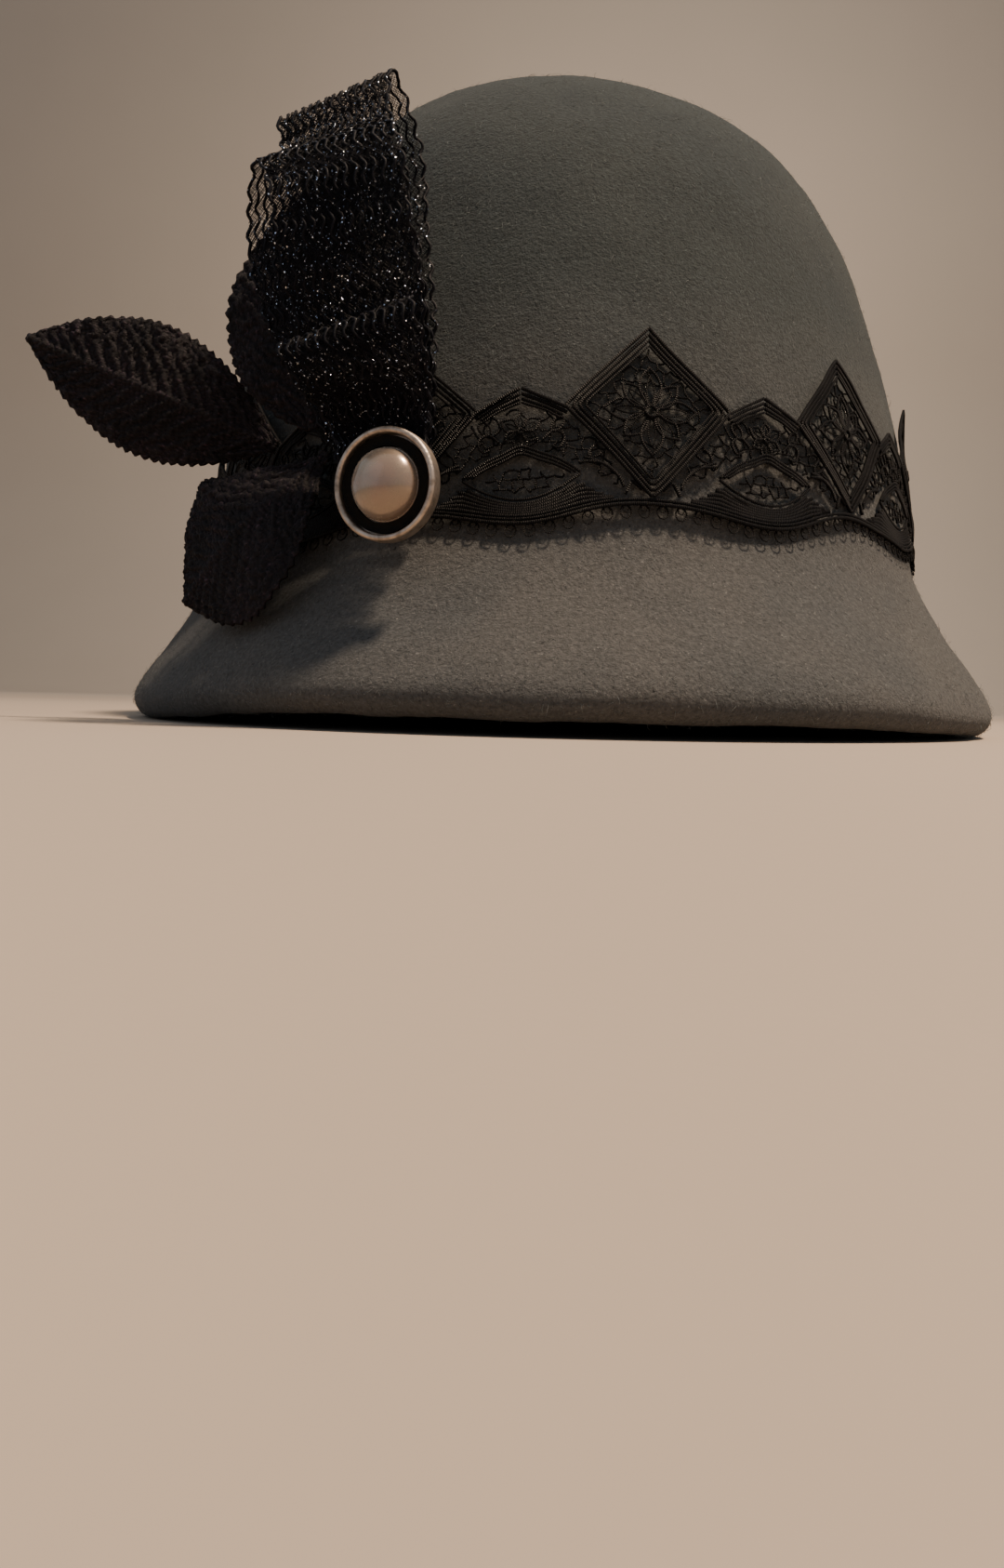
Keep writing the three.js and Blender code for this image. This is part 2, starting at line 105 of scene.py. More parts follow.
# Net ribbon loops: turn round the crown in degrees, distance out, height, width, rise and facing angle
LOOPS = {
    "net_loop_back": [
        (-19.2, 4.2, 42, 15, 0, 22),
        (-19.9, 4.3, 54, 19, 3, 20),
        (-20.5, 7.4, 70, 23, 8, 26),
        (-22.3, 9.2, 88, 23, 11, 28),
        (-25.1, 8, 103, 23, 13, 26),
        (-27.5, 3.6, 114, 23, 13, 15),
        (-26.1, -0.6, 103, 23, 11, 6),
        (-24.6, 0.2, 88, 23, 8, 6),
        (-22.5, 2.1, 70, 23, 4, 10),
        (-20.9, 2.6, 54, 19, 2, 20),
        (-19.8, 2.5, 42, 15, 0, 22),
        (-19.4, 3.35, 40, 15, 0, 22),
    ],
    "net_loop_front": [
        (-18.6, 7.5, 42, 15, 0, 22),
        (-19.4, 7.6, 54, 19, 3, 20),
        (-19.4, 13.2, 68, 22, 8, 12),
        (-19.5, 19.2, 82, 22.5, 11, 6),
        (-20.4, 19.8, 93, 22.5, 13, 6),
        (-23.8, 16, 99, 22.5, 13, 10),
        (-26.9, 12.2, 93, 24, 11, 20),
        (-26.6, 11.8, 82, 24, 8, 24),
        (-24, 10, 68, 23, 6, 24),
        (-21, 6, 54, 19, 3, 21),
        (-19, 5.8, 42, 15, 0, 22),
        (-18.8, 6.65, 40, 15, 0, 22),
    ],
    "net_loop_low": [
        (-17.8, 10.75, 42, 14.5, 0, 22),
        (-18.3, 10.95, 54, 19, 3, 19),
        (-17.9, 17.95, 60, 22, 12, 9),
        (-18.4, 20.95, 64.5, 23, 17, 6),
        (-19.3, 19.15, 67.5, 23, 18, 6),
        (-19.9, 16.15, 64.5, 23, 15, 9),
        (-19.4, 13.15, 60, 22, 9, 14),
        (-18.9, 9.25, 54, 19, 3, 20),
        (-18.2, 9.05, 42, 14.5, 0, 22),
        (-18, 9.9, 40, 14.5, 0, 22),
    ],
}

# How far along the ribbon a filament reaches to each side in millimetres, its points, and the lag in
# radians between the waves of one cord and the next
FILAMENT_REACH = 11.0
FILAMENT_POINTS = 10
CORD_LAG = 0.25

# Button: where its back sits beside the crown's foot, and its sizes in millimetres
BUTTON_TURN = -16.4
BUTTON_OUT = 11.8
BUTTON_HEIGHT = 41.6
BUTTON_RADIUS = 9.5
BUTTON_SPINS = 96
PEARL_RADIUS = 6.1
PEARL_LOW = 1.9
PEARL_RISE = 4.6
PEARL_LINE_DEPTH = 2.4
PEARL_LINE_THICKNESS = 0.34


# Small helpers

def clear_selection():
    """Deselects everything, because an operator acts on all that is selected."""
    if bpy.context.object and bpy.context.object.mode != "OBJECT":
        bpy.ops.object.mode_set(mode="OBJECT")
    bpy.ops.object.select_all(action="DESELECT")


def make_active(piece):
    """Leaves one piece selected and active."""
    clear_selection()
    piece.select_set(True)
    bpy.context.view_layer.objects.active = piece


def apply_modifier(piece, kind, name, **settings):
    """Adds a modifier with its settings and applies it."""
    make_active(piece)
    modifier = piece.modifiers.new(name, kind)
    for key, value in settings.items():
        setattr(modifier, key, value)
    bpy.ops.object.modifier_apply(modifier=name)


def unit(vectors):
    """Vectors of length one, along the last axis of an array."""
    length = np.linalg.norm(vectors, axis=-1, keepdims=True)
    return vectors / np.maximum(length, 1e-12)


def lay_out(piece, replaced=None):
    """Smooth shading, the body that a piece rides on and the node that it stands for."""
    piece.data.polygons.foreach_set("use_smooth", np.ones(len(piece.data.polygons), bool))
    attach(piece, BODY)
    if replaced:
        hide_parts(replaced)


class Parts:
    """Joins arrays of points, faces and surface marks into one mesh."""

    def __init__(self):
        self.points = []
        self.faces = []
        self.marks = []
        self.count = 0

    def add(self, points, faces, marks):
        """Faces count from the first of these points; marks are a pair for each corner."""
        self.points.append(points.reshape(-1, 3))
        self.faces.append(faces + self.count)
        self.marks.append(marks.reshape(-1, 2))
        self.count += len(self.points[-1])

    def tubes(self, lines, outward, half_width, half_height, sides=4, closed=False):
        """Closed tubes along rows of points, an array of lines by points by three."""
        lines = np.asarray(lines, float)
        many, length = lines.shape[:2]
        if closed:
            tangent = unit(np.roll(lines, -1, 1) - np.roll(lines, 1, 1))
        else:
            tangent = unit(np.gradient(lines, axis=1))
        side = unit(np.cross(tangent, np.broadcast_to(outward, lines.shape)))
        lift = np.cross(side, tangent)
        wide = np.broadcast_to(half_width, (many, length))[..., None, None]
        high = np.broadcast_to(half_height, (many, length))[..., None, None]
        angle = 2 * math.pi * (np.arange(sides) + 0.5) / sides
        ring = lines[:, :, None] + wide * np.cos(angle)[:, None] * side[:, :, None]
        ring = ring + high * np.sin(angle)[:, None] * lift[:, :, None]
        steps = length if closed else length - 1
        row = np.arange(steps)[:, None]
        column = np.arange(sides)[None, :]
        beyond = (row + 1) % length
        beside = (column + 1) % sides
        quads = np.stack(np.broadcast_arrays(
            row * sides + column,
            beyond * sides + column,
            beyond * sides + beside,
            row * sides + beside,
        ), -1).reshape(-1, 4)
        start = (np.arange(many) * length * sides)[:, None, None]
        faces = (quads[None] + start).reshape(-1, 4)
        step = np.linalg.norm(np.roll(lines, -1, 1) - lines, axis=-1)
        run = np.concatenate([np.zeros((many, 1)), np.cumsum(step, 1)], 1)
        girth = 2 * math.pi * np.broadcast_to(half_width, (many, length)).mean()
        along = np.stack([run[:, :steps], run[:, 1:steps + 1], run[:, 1:steps + 1], run[:, :steps]], -1)
        along = np.repeat(along[:, :, None], sides, 2)
        around = np.stack([column, column, column + 1, column + 1], -1) * girth / sides
        around = np.broadcast_to(around[None], along.shape)
        self.add(ring, faces, np.stack([along, around], -1))
        if not closed:
            near = np.arange(sides)[None] + start[:, 0]
            far = near[:, ::-1] + (length - 1) * sides
            caps = np.concatenate([near, far])
            base = self.count - many * length * sides
            self.faces.append(caps + base)
            self.marks.append(np.zeros((caps.size, 2)))

    def to_object(self, name):
        """The joined mesh as an object of its own."""
        mesh = bpy.data.meshes.new(name)
        points = np.concatenate(self.points)
        corners = np.concatenate([block.reshape(-1) for block in self.faces])
        sizes = np.concatenate([np.full(len(block), block.shape[1]) for block in self.faces])
        starts = np.concatenate([[0], np.cumsum(sizes)[:-1]])
        mesh.vertices.add(len(points))
        mesh.vertices.foreach_set("co", points.reshape(-1))
        mesh.loops.add(len(corners))
        mesh.loops.foreach_set("vertex_index", corners.astype(np.int32))
        mesh.polygons.add(len(sizes))
        mesh.polygons.foreach_set("loop_start", starts.astype(np.int32))
        mesh.polygons.foreach_set("loop_total", sizes.astype(np.int32))
        mesh.update(calc_edges=True)
        marks = mesh.uv_layers.new(name="UVMap")
        marks.data.foreach_set("uv", np.concatenate(self.marks).reshape(-1))
        piece = bpy.data.objects.new(name, mesh)
        bpy.context.collection.objects.link(piece)
        return piece


# Places on the hat

def foot_outward(turn):
    """Level direction out from the foot of the crown, at turns in radians."""
    x = np.sin(turn) / FOOT_HALF_WIDTH
    y = -np.cos(turn) / FOOT_HALF_DEPTH
    return unit(np.stack([x, y, np.zeros_like(x)], -1))


def beside_crown(turn, out, height):
    """Place beside the foot of the crown, in millimetres."""
    turn = np.asarray(turn, float)
    place = np.stack([
        FOOT_HALF_WIDTH * np.sin(turn),
        -FOOT_HALF_DEPTH * np.cos(turn),
        np.broadcast_to(height, turn.shape),
    ], -1)
    return place + foot_outward(turn) * np.asarray(out)[..., None]


def crown_wall(turn, height, out):
    """Place on the crown's wall, or at a distance out from it, in millimetres, and the way out."""
    table = np.array(CROWN_WALL)
    half_width = np.interp(height, table[:, 0], table[:, 1])
    half_depth = np.interp(height, table[:, 0], table[:, 2])
    x = half_width * np.sin(turn)
    y = -half_depth * np.cos(turn)
    outward = unit(np.stack([x / half_width ** 2, y / half_depth ** 2, np.zeros_like(x)], -1))
    place = np.stack([x, y, height + np.zeros_like(x)], -1) + outward * np.asarray(out)[..., None]
    lean = CROWN_LEAN * np.maximum(0, (height - LEAN_START) / (CROWN_HEIGHT - LEAN_START))
    place[..., 0] += lean
    return place, outward


def even_turns(parts=720):
    """Turns round the crown's foot, and the share of the way round that each one has reached."""
    turn = np.linspace(0, 2 * math.pi, parts + 1)
    place = beside_crown(turn, np.zeros_like(turn), 0)
    step = np.linalg.norm(np.diff(place, axis=0), axis=1)
    reached = np.concatenate([[0], np.cumsum(step)])
    return turn, reached / reached[-1], reached[-1]


def spline_step(before, here, there, after, part, even=True):
    """Place and slope partway between two knots; even spaces the bends by the knots' distances."""
    if even:
        gaps = [np.sqrt(np.linalg.norm(b - a, axis=1))[:, None] for a, b in
                ((before, here), (here, there), (there, after))]
        slope_in = ((here - before) / gaps[0] - (there - before) / (gaps[0] + gaps[1])
                    + (there - here) / gaps[1])
        slope_out = ((there - here) / gaps[1] - (after - here) / (gaps[1] + gaps[2])
                     + (after - there) / gaps[2])
        slope_in = slope_in * gaps[1]
        slope_out = slope_out * gaps[1]
    else:
        slope_in = 0.5 * (there - before)
        slope_out = 0.5 * (after - here)
    square = -3 * here + 3 * there - 2 * slope_in - slope_out
    cube = 2 * here - 2 * there + slope_in + slope_out
    point = here + slope_in * part + square * part ** 2 + cube * part ** 3
    return point, slope_in + 2 * square * part + 3 * cube * part ** 2


def closed_spline(rows, share, even=False):
    """Smooth closed curve through rows of numbers."""
    rows = np.asarray(rows, float)
    place = share * len(rows)
    first = np.floor(place).astype(int)
    knots = (rows[(first + shift) % len(rows)] for shift in (-1, 0, 1, 2))
    return spline_step(*knots, (place - first)[:, None], even)[0]


# Materials

def new_material(name):
    """A node material with its surface shader."""
    material = bpy.data.materials.new(name)
    material.use_nodes = True
    return material, material.node_tree, material.node_tree.nodes["Principled BSDF"]


def add_node(tree, kind, **values):
    """A node with its settings; a value for a name that is a socket goes to the socket."""
    node = tree.nodes.new(kind)
    for key, value in values.items():
        if hasattr(node, key):
            setattr(node, key, value)
        else:
            node.inputs[key.replace("_", " ").title()].default_value = value
    return node


def place_on(tree, source="Object", scale=(1, 1, 1)):
    """Surface position for a pattern, through a Mapping node."""
    position = tree.nodes.new("ShaderNodeTexCoord")
    mapping = tree.nodes.new("ShaderNodeMapping")
    mapping.inputs["Scale"].default_value = scale
    tree.links.new(position.outputs[source], mapping.inputs["Vector"])
    return mapping.outputs["Vector"]


def noise(tree, place, scale, detail=3, rough=0.6):
    """Value of a noise pattern with a scale in turns a metre."""
    node = add_node(tree, "ShaderNodeTexNoise", scale=scale, detail=detail, roughness=rough)
    tree.links.new(place, node.inputs["Vector"])
    return node.outputs["Fac"]


def ramp(tree, value, stops):
    """Colours read along a value, from pairs of position and colour."""
    node = tree.nodes.new("ShaderNodeValToRGB")
    points = node.color_ramp.elements
    while len(points) < len(stops):
        points.new(0.5)
    for point, (position, colour) in zip(points, stops):
        point.position = position
        point.color = (*colour, 1)
    tree.links.new(value, node.inputs["Fac"])
    return node.outputs["Color"]


def mix_colours(tree, share, first, second, blend="MIX"):
    """Two colours mixed by a share, which is a number or a socket."""
    node = tree.nodes.new("ShaderNodeMix")
    node.data_type = "RGBA"
    node.blend_type = blend
    for socket, value in ((node.inputs[0], share), (node.inputs[6], first), (node.inputs[7], second)):
        if isinstance(value, bpy.types.NodeSocket):
            tree.links.new(value, socket)
        elif isinstance(value, (int, float)):
            socket.default_value = value
        else:
            socket.default_value = (*value, 1)
    return node.outputs[2]


def bump(tree, shader, height, distance, strength=1.0, below=None):
    """Relief from a height value, laid over the relief below it."""
    node = add_node(tree, "ShaderNodeBump", strength=strength, distance=distance)
    tree.links.new(height, node.inputs["Height"])
    if below:
        tree.links.new(below, node.inputs["Normal"])
    tree.links.new(node.outputs["Normal"], shader.inputs["Normal"])
    return node.outputs["Normal"]


def shade(colour, factor):
    """A colour made lighter or darker."""
    return tuple(channel * factor for channel in colour)


def grey_ramp(tree, value, *stops):
    """Greys read along a value, from pairs of position and level."""
    return ramp(tree, value, [(position, (level,) * 3) for position, level in stops])


def set_surface(tree, shader, sockets):
    """Sockets of the surface shader, each fed by a pattern or set to a value of its own."""
    for name, value in sockets.items():
        if isinstance(value, bpy.types.NodeSocket):
            tree.links.new(value, shader.inputs[name])
        else:
            shader.inputs[name].default_value = value


def felt_material(settings):
    """Wool felt: blotches, matted fibres, flecks, painted shade that makes the crown darker and cooler above
    the lace, painted light that makes the felt below it brighter, and a soft sheen.
    """
    material, tree, shader = new_material("wool_felt")
    place = place_on(tree)
    grey = tuple(settings.colour)
    warm = tuple(settings.warm_colour)
    blotch = ramp(tree, noise(tree, place, 30, 2), [(0.35, shade(grey, 0.97)), (0.65, shade(warm, 1.03))])
    matted = grey_ramp(tree, noise(tree, place, 1300, 3, 0.7), (0.3, 0.55), (0.72, 1.4))
    body = mix_colours(tree, 0.85, blotch, matted, "MULTIPLY")
    fleck = noise(tree, place, 1900, 2, 0.5)
    pale = grey_ramp(tree, fleck, (0.66, 0), (0.74, 1))
    dark = grey_ramp(tree, fleck, (0.27, 1), (0.34, 0))
    body = mix_colours(tree, pale, body, shade(warm, 2.1))
    body = mix_colours(tree, dark, body, shade(grey, 0.32))
    height = tree.nodes.new("ShaderNodeSeparateXYZ")
    tree.links.new(place, height.inputs["Vector"])
    # Painted light and shade by height: the felt below 45 mm is made brighter as painted light, and the crown
    # above 85 mm darker and cooler as painted shade, with a ramp between.
    painted_light_by_height = ramp(tree, height.outputs["Z"], [(0.045, (1.17, 1.02, 1.06)), (0.085, (0.45, 0.49, 0.53))])
    set_surface(tree, shader, {
        "Base Color": mix_colours(tree, 1.0, body, painted_light_by_height, "MULTIPLY"),
        "Roughness": 0.95,
        "Specular IOR Level": 0.15,
        "Sheen Weight": 0.07,
        "Sheen Roughness": 0.6,
        "Sheen Tint": (0.75, 0.78, 0.8, 1),
    })
    coarse = bump(tree, shader, noise(tree, place, 1000, 3, 0.7), 0.00035)
    bump(tree, shader, noise(tree, place, 2200, 3, 0.7), 0.0003, 0.9, coarse)
    return material


def fibre_material(settings):
    """Loose wool fibres, paler than the felt that they stand on."""
    material, tree, shader = new_material("wool_fibre")
    place = place_on(tree)
    grey = tuple(settings.colour)
    tones = [(0.35, shade(grey, 0.5)), (0.55, shade(grey, 1.3)), (0.75, shade(grey, 2.4))]
    set_surface(tree, shader, {
        "Base Color": ramp(tree, noise(tree, place, 700, 2), tones),
        "Roughness": 0.8,
        "Sheen Weight": 0.2,
    })
    bump(tree, shader, noise(tree, place, 4000), 0.00005)
    return material


def thread_material(settings):
    """Black embroidery thread: stitches wound across each cord with painted highlights on their crests and
    painted shade between them, dusty in places.
    """
    material, tree, shader = new_material("lace_thread")
    place = place_on(tree)
    cord = place_on(tree, "UV")
    black = tuple(settings.colour)
    tone = noise(tree, place, 260, 3)
    base = ramp(tree, tone, [(0.35, shade(black, 0.6)), (0.6, black), (0.8, shade(black, 2.6))])
    wave = add_node(tree, "ShaderNodeTexWave", scale=2 * math.pi / (20 * settings.stitch), distortion=1.2)
    wave.inputs["Detail"].default_value = 2
    tree.links.new(cord, wave.inputs["Vector"])
    stitch = wave.outputs["Fac"]
    # Painted light and shade: each stitch's crest is made lighter and the groove between stitches darker, in
    # step with the stitch bump.
    painted_stitch_light = grey_ramp(tree, stitch, (0.3, 0.35), (0.9, 1.5))
    set_surface(tree, shader, {
        "Base Color": mix_colours(tree, 0.8, base, painted_stitch_light, "MULTIPLY"),
        "Roughness": grey_ramp(tree, stitch, (0.2, 0.8), (0.9, 0.5)),
        "Specular IOR Level": 0.16,
    })
    below = bump(tree, shader, stitch, 0.00025)
    bump(tree, shader, noise(tree, place, 2600), 0.0001, 0.7, below)
    return material


def net_material(settings):
    """Black net yarn with glinting flecks."""
    material, tree, shader = new_material("glitter_net")
    place = place_on(tree)
    black = tuple(settings.colour)
    base = ramp(tree, noise(tree, place, 900, 2), [(0.3, shade(black, 0.6)), (0.75, shade(black, 2.2))])
    flake = add_node(tree, "ShaderNodeTexVoronoi", scale=1 / settings.flake)
    tree.links.new(place, flake.inputs["Vector"])
    pick = tree.nodes.new("ShaderNodeSeparateColor")
    tree.links.new(flake.outputs["Color"], pick.inputs["Color"])
    glint = grey_ramp(tree, pick.outputs["Red"], (0.974, 0), (0.982, 1))
    tint = ramp(tree, pick.outputs["Green"], [(0.3, (0.5, 0.6, 0.8)), (0.8, (0.7, 0.74, 0.8))])
    set_surface(tree, shader, {
        "Base Color": mix_colours(tree, glint, base, tint),
        "Metallic": glint,
        "Roughness": grey_ramp(tree, pick.outputs["Red"], (0.974, 0.6), (0.982, 0.25)),
        "Specular IOR Level": 0.12,
    })
    bump(tree, shader, pick.outputs["Blue"], 0.0002, 0.6)
    return material


def velvet_material(settings):
    """Pressed velvet: near-black pile with fine rows of hairs whose glints are painted into the colour as
    highlights.
    """
    material, tree, shader = new_material("pressed_velvet")
    place = place_on(tree)
    leaf = place_on(tree, "UV", (1.0, 2.2, 1.0))
    pile = tuple(settings.colour)
    hairs = noise(tree, leaf, 900, 4, 0.75)
    base = ramp(tree, noise(tree, place, 130, 3), [(0.35, shade(pile, 0.5)), (0.7, shade(pile, 1.5))])
    # Painted highlight: where the hair noise is high the pile's colour is raised up to six and a half times,
    # standing in for glinting light on the velvet.
    glint = ramp(tree, hairs, [(0.52, (0.6, 0.6, 0.6)), (0.6, (1.5, 1.35, 1.4)), (0.7, (6.5, 5.2, 5.5))])
    set_surface(tree, shader, {
        "Base Color": mix_colours(tree, 1.0, base, glint, "MULTIPLY"),
        "Roughness": grey_ramp(tree, hairs, (0.4, 0.75), (0.68, 0.45)),
        "Specular IOR Level": 0.2,
    })
    below = bump(tree, shader, hairs, 0.0005, 0.9)
    bump(tree, shader, noise(tree, place, 3200), 0.0001, 0.8, below)
    return material


def metal_material(settings):
    """Old pale brass, duller where it is worn and tarnished."""
    material, tree, shader = new_material("old_brass")
    place = place_on(tree)
    brass = tuple(settings.metal_colour)
    tone = noise(tree, place, 380, 4)
    tones = [(0.35, shade(brass, 0.45)), (0.55, brass), (0.75, shade(brass, 1.25))]
    set_surface(tree, shader, {
        "Base Color": ramp(tree, tone, tones),
        "Roughness": grey_ramp(tree, tone, (0.35, 0.6), (0.65, 0.4)),
        "Metallic": 1,
    })
    bump(tree, shader, noise(tree, place, 1500, 4), 0.00008)
    return material


def inlay_material():
    """Dark, dusty bed of the button round its pearl."""
    material, tree, shader = new_material("dark_inlay")
    place = place_on(tree)
    tone = noise(tree, place, 900, 3)
    set_surface(tree, shader, {
        "Base Color": ramp(tree, tone, [(0.35, (0.002, 0.0018, 0.0016)), (0.75, (0.008, 0.007, 0.005))]),
        "Roughness": grey_ramp(tree, tone, (0.35, 0.65), (0.7, 0.9)),
        "Specular IOR Level": 0.1,
    })
    bump(tree, shader, noise(tree, place, 2500), 0.0001)
    return material


def pearl_material(settings):
    """Glass pearl: a creamy lustre with a faint rose and green cast."""
    material, tree, shader = new_material("pearl_lustre")
    place = place_on(tree)
    red, green, blue = settings.pearl_colour
    rosy = (red, green * 0.9, blue * 0.88)
    greenish = (red * 0.93, green, blue * 0.95)
    set_surface(tree, shader, {
        "Base Color": ramp(tree, noise(tree, place, 160, 2), [(0.35, rosy), (0.65, greenish)]),
        "Roughness": grey_ramp(tree, noise(tree, place, 900), (0.3, 0.2), (0.7, 0.3)),
        "Metallic": 0.45,
        "Coat Weight": 0.7,
        "Coat Roughness": 0.06,
        "Sheen Weight": 0.2,
    })
    bump(tree, shader, noise(tree, place, 700), 0.00002)
    return material


def paper_material(settings):
    """Plain pale backdrop with a faint grain."""
    material, tree, shader = new_material("pale_backdrop")
    place = place_on(tree)
    pale = tuple(settings.floor_colour)
    set_surface(tree, shader, {
        "Base Color": ramp(tree, noise(tree, place, 3, 2), [(0.3, shade(pale, 0.97)), (0.7, pale)]),
        "Roughness": 0.9,
    })
    bump(tree, shader, noise(tree, place, 300), 0.0002, 0.2)
    return material


# Felt shell and its fuzz

def felt_shell(settings):
    """The blocked felt: a merged copy of its solid, rounded and made gently uneven."""
    clear_selection()
    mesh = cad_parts["felt_body"].data.copy()
    piece = bpy.data.objects.new("felt_shell", mesh)
    bpy.context.collection.objects.link(piece)
    make_active(piece)
    bpy.ops.mesh.customdata_custom_splitnormals_clear()
    bpy.ops.object.mode_set(mode="EDIT")
    bpy.ops.mesh.select_all(action="SELECT")
    bpy.ops.mesh.remove_doubles(threshold=0.00001)
    bpy.ops.mesh.tris_convert_to_quads(face_threshold=math.radians(60), shape_threshold=math.radians(60))
    bpy.ops.mesh.mark_sharp(clear=True)
    bpy.ops.object.mode_set(mode="OBJECT")
    apply_modifier(piece, "SUBSURF", "rounding", levels=2, render_levels=2)
    for name, size, strength in (("wave", 0.032, 0.0016), ("lump", 0.008, 0.0005)):
        clouds = bpy.data.textures.new("felt_" + name, "CLOUDS")
        clouds.noise_scale = size
        apply_modifier(piece, "DISPLACE", name, texture=clouds, strength=strength, mid_level=0.5,
                       texture_coords="LOCAL")
    settle_on_floor(piece)
    piece.data.materials.clear()
    piece.data.materials.append(felt_material(settings))
    return piece


def settle_on_floor(piece, reach=0.02):
    """Lets the lowest edge down to the floor, with less and less movement up to a height."""
    count = len(piece.data.vertices)
    points = np.empty(count * 3)
    piece.data.vertices.foreach_get("co", points)
    points = points.reshape(-1, 3)
    lowest = points[:, 2].min()
    points[:, 2] -= lowest * np.clip(1 - points[:, 2] / reach, 0, 1)
    points[:, 2] = np.maximum(points[:, 2], 0)
    piece.data.vertices.foreach_set("co", points.reshape(-1))
    piece.data.update()


def felt_fuzz(shell, settings):
    """Loose fibres on the outside of the felt, thicker along the brim's edge."""
    draw = np.random.default_rng(7)
    mesh = shell.data
    mesh.calc_loop_triangles()
    corners = np.empty(len(mesh.loop_triangles) * 3, np.int32)
    mesh.loop_triangles.foreach_get("vertices", corners)
    points = np.empty(len(mesh.vertices) * 3)
    mesh.vertices.foreach_get("co", points)
    triangles = points.reshape(-1, 3)[corners.reshape(-1, 3)]
    cross = np.cross(triangles[:, 1] - triangles[:, 0], triangles[:, 2] - triangles[:, 0])
    area = np.linalg.norm(cross, axis=1)
    normal = unit(cross)
    middle = triangles.mean(1)
    outside = np.einsum("ij,ij->i", normal, middle - (0, 0, 0.03)) > 0
    weight = area * outside * np.where(middle[:, 2] < 0.012, 3.0, 1.0)
    chosen = draw.choice(len(weight), settings.fibres, p=weight / weight.sum())
    share = draw.random((settings.fibres, 2, 1))
    root = np.sqrt(share[:, 0])
    corner = triangles[chosen]
    side = share[:, 1]
    base = corner[:, 0] * (1 - root) + corner[:, 1] * root * (1 - side) + corner[:, 2] * root * side
    up = normal[chosen]
    along = unit(np.cross(up, draw.normal(size=(settings.fibres, 3))))
    turn = unit(np.cross(up, along))
    length = settings.fibre_length * draw.uniform(0.35, 1.0, (settings.fibres, 1))
    stand = draw.beta(1.2, 4, (settings.fibres, 1))
    curl = draw.normal(0, 0.25, (settings.fibres, 1))
    line = np.stack([
        base - up * 0.0001,
        base + length * (0.5 * along + 0.6 * stand * up + 0.3 * curl * turn),
        base + length * (0.95 * along + (0.2 + 0.9 * stand) * up * 0.6 + curl * turn),
    ], 1)
    line[..., 2] = np.maximum(line[..., 2], 0.0001)
    taper = np.array([1.0, 0.85, 0.4])[None]
    thick = settings.fibre_radius * taper * draw.uniform(0.7, 1.2, (settings.fibres, 1))
    parts = Parts()
    parts.tubes(line, up[:, None], thick, thick, 3)
    piece = parts.to_object("felt_fuzz")
    piece.data.materials.append(fibre_material(settings))
    return piece


# Lace trim, drawn in millimetres: across from the tall peak, and up from the datum

def resample(line, spacing, closed=False):
    """A line with points at an even spacing."""
    line = np.asarray(line, float)
    if closed:
        line = np.concatenate([line, line[:1]])
    step = np.linalg.norm(np.diff(line, axis=0), axis=1)
    run = np.concatenate([[0], np.cumsum(step)])
    count = max(int(round(run[-1] / spacing)), 3)
    at = np.linspace(0, run[-1], count + 1)
    if closed:
        at = at[:-1]
    return np.stack([np.interp(at, run, line[:, axis]) for axis in (0, 1)], -1)


def softened(line, rounds=2, closed=False):
    """A line with its corners rounded off."""
    line = np.asarray(line, float)
    for _ in range(rounds):
        ahead = np.roll(line, -1, 0) if closed else np.concatenate([line[1:], line[-1:]])
        back = np.roll(line, 1, 0) if closed else np.concatenate([line[:1], line[:-1]])
        line = (back + 2 * line + ahead) / 4
    return line


def bowed(start, end, rise, points=9):
    """A line from start to end, bowed to its left."""
    start, end = np.array(start, float), np.array(end, float)
    share = np.linspace(0, 1, points)[:, None]
    left = np.array([start[1] - end[1], end[0] - start[0]])
    left = left / max(np.linalg.norm(left), 1e-9)
    return start + (end - start) * share + left * rise * 4 * share * (1 - share)


def oval(centre, across, up, lean=0.0, points=12):
    """A closed oval, leaning by an angle in degrees."""
    angle = np.linspace(0, 2 * math.pi, points, endpoint=False)
    flat = np.stack([across * np.cos(angle), up * np.sin(angle)], -1)
    turn = math.radians(lean)
    spin = np.array([[math.cos(turn), math.sin(turn)], [-math.sin(turn), math.cos(turn)]])
    return np.asarray(centre, float) + flat @ spin


class LaceDrawing:
    """Strokes of one repeat: lines with a width, a height above the ground and a number of sides."""

    def __init__(self, half):
        self.half = half
        self.strokes = []

    def cord(self, line, width, raised=None, closed=False, sides=4, spacing=0.8, lift=0.0, soft=1):
        line = resample(line, spacing, closed)
        line = softened(line, soft, closed)
        self.strokes.append((line[None], width / 2, (raised or width) / 2, sides, closed, lift))

    def mirrored(self, line, width, centre=0.0, **how):
        line = np.asarray(line, float)
        self.cord(line, width, **how)
        self.cord(line * (-1, 1) + (2 * centre, 0), width, **how)

    def foot(self, x):
        """Height of the scalloped lower edge."""
        swing = (1 - np.cos(math.pi * np.asarray(x) / self.half)) / 2
        return LACE_FOOT_HIGH + (LACE_FOOT_LOW - LACE_FOOT_HIGH) * swing


def diamond_line(inset):
    """The diamond of the tall peak, drawn in by an inset along its sides."""
    top, side, low, waist = 31.2, 14.2, 1.2, 17.0
    return np.array([
        (0, top - inset * 1.38),
        (side - inset * 1.42, waist),
        (0, low + inset * 1.38),
        (-side + inset * 1.42, waist),
    ])


def inside_diamond(points, inset):
    """Tells which points are inside the diamond drawn in by an inset."""
    corner = diamond_line(inset)
    above = points[..., 1] > corner[1, 1]
    reach = np.where(above, corner[0, 1] - corner[1, 1], corner[1, 1] - corner[2, 1])
    return np.abs(points[..., 0]) / corner[1, 0] + np.abs(points[..., 1] - corner[1, 1]) / reach < 1


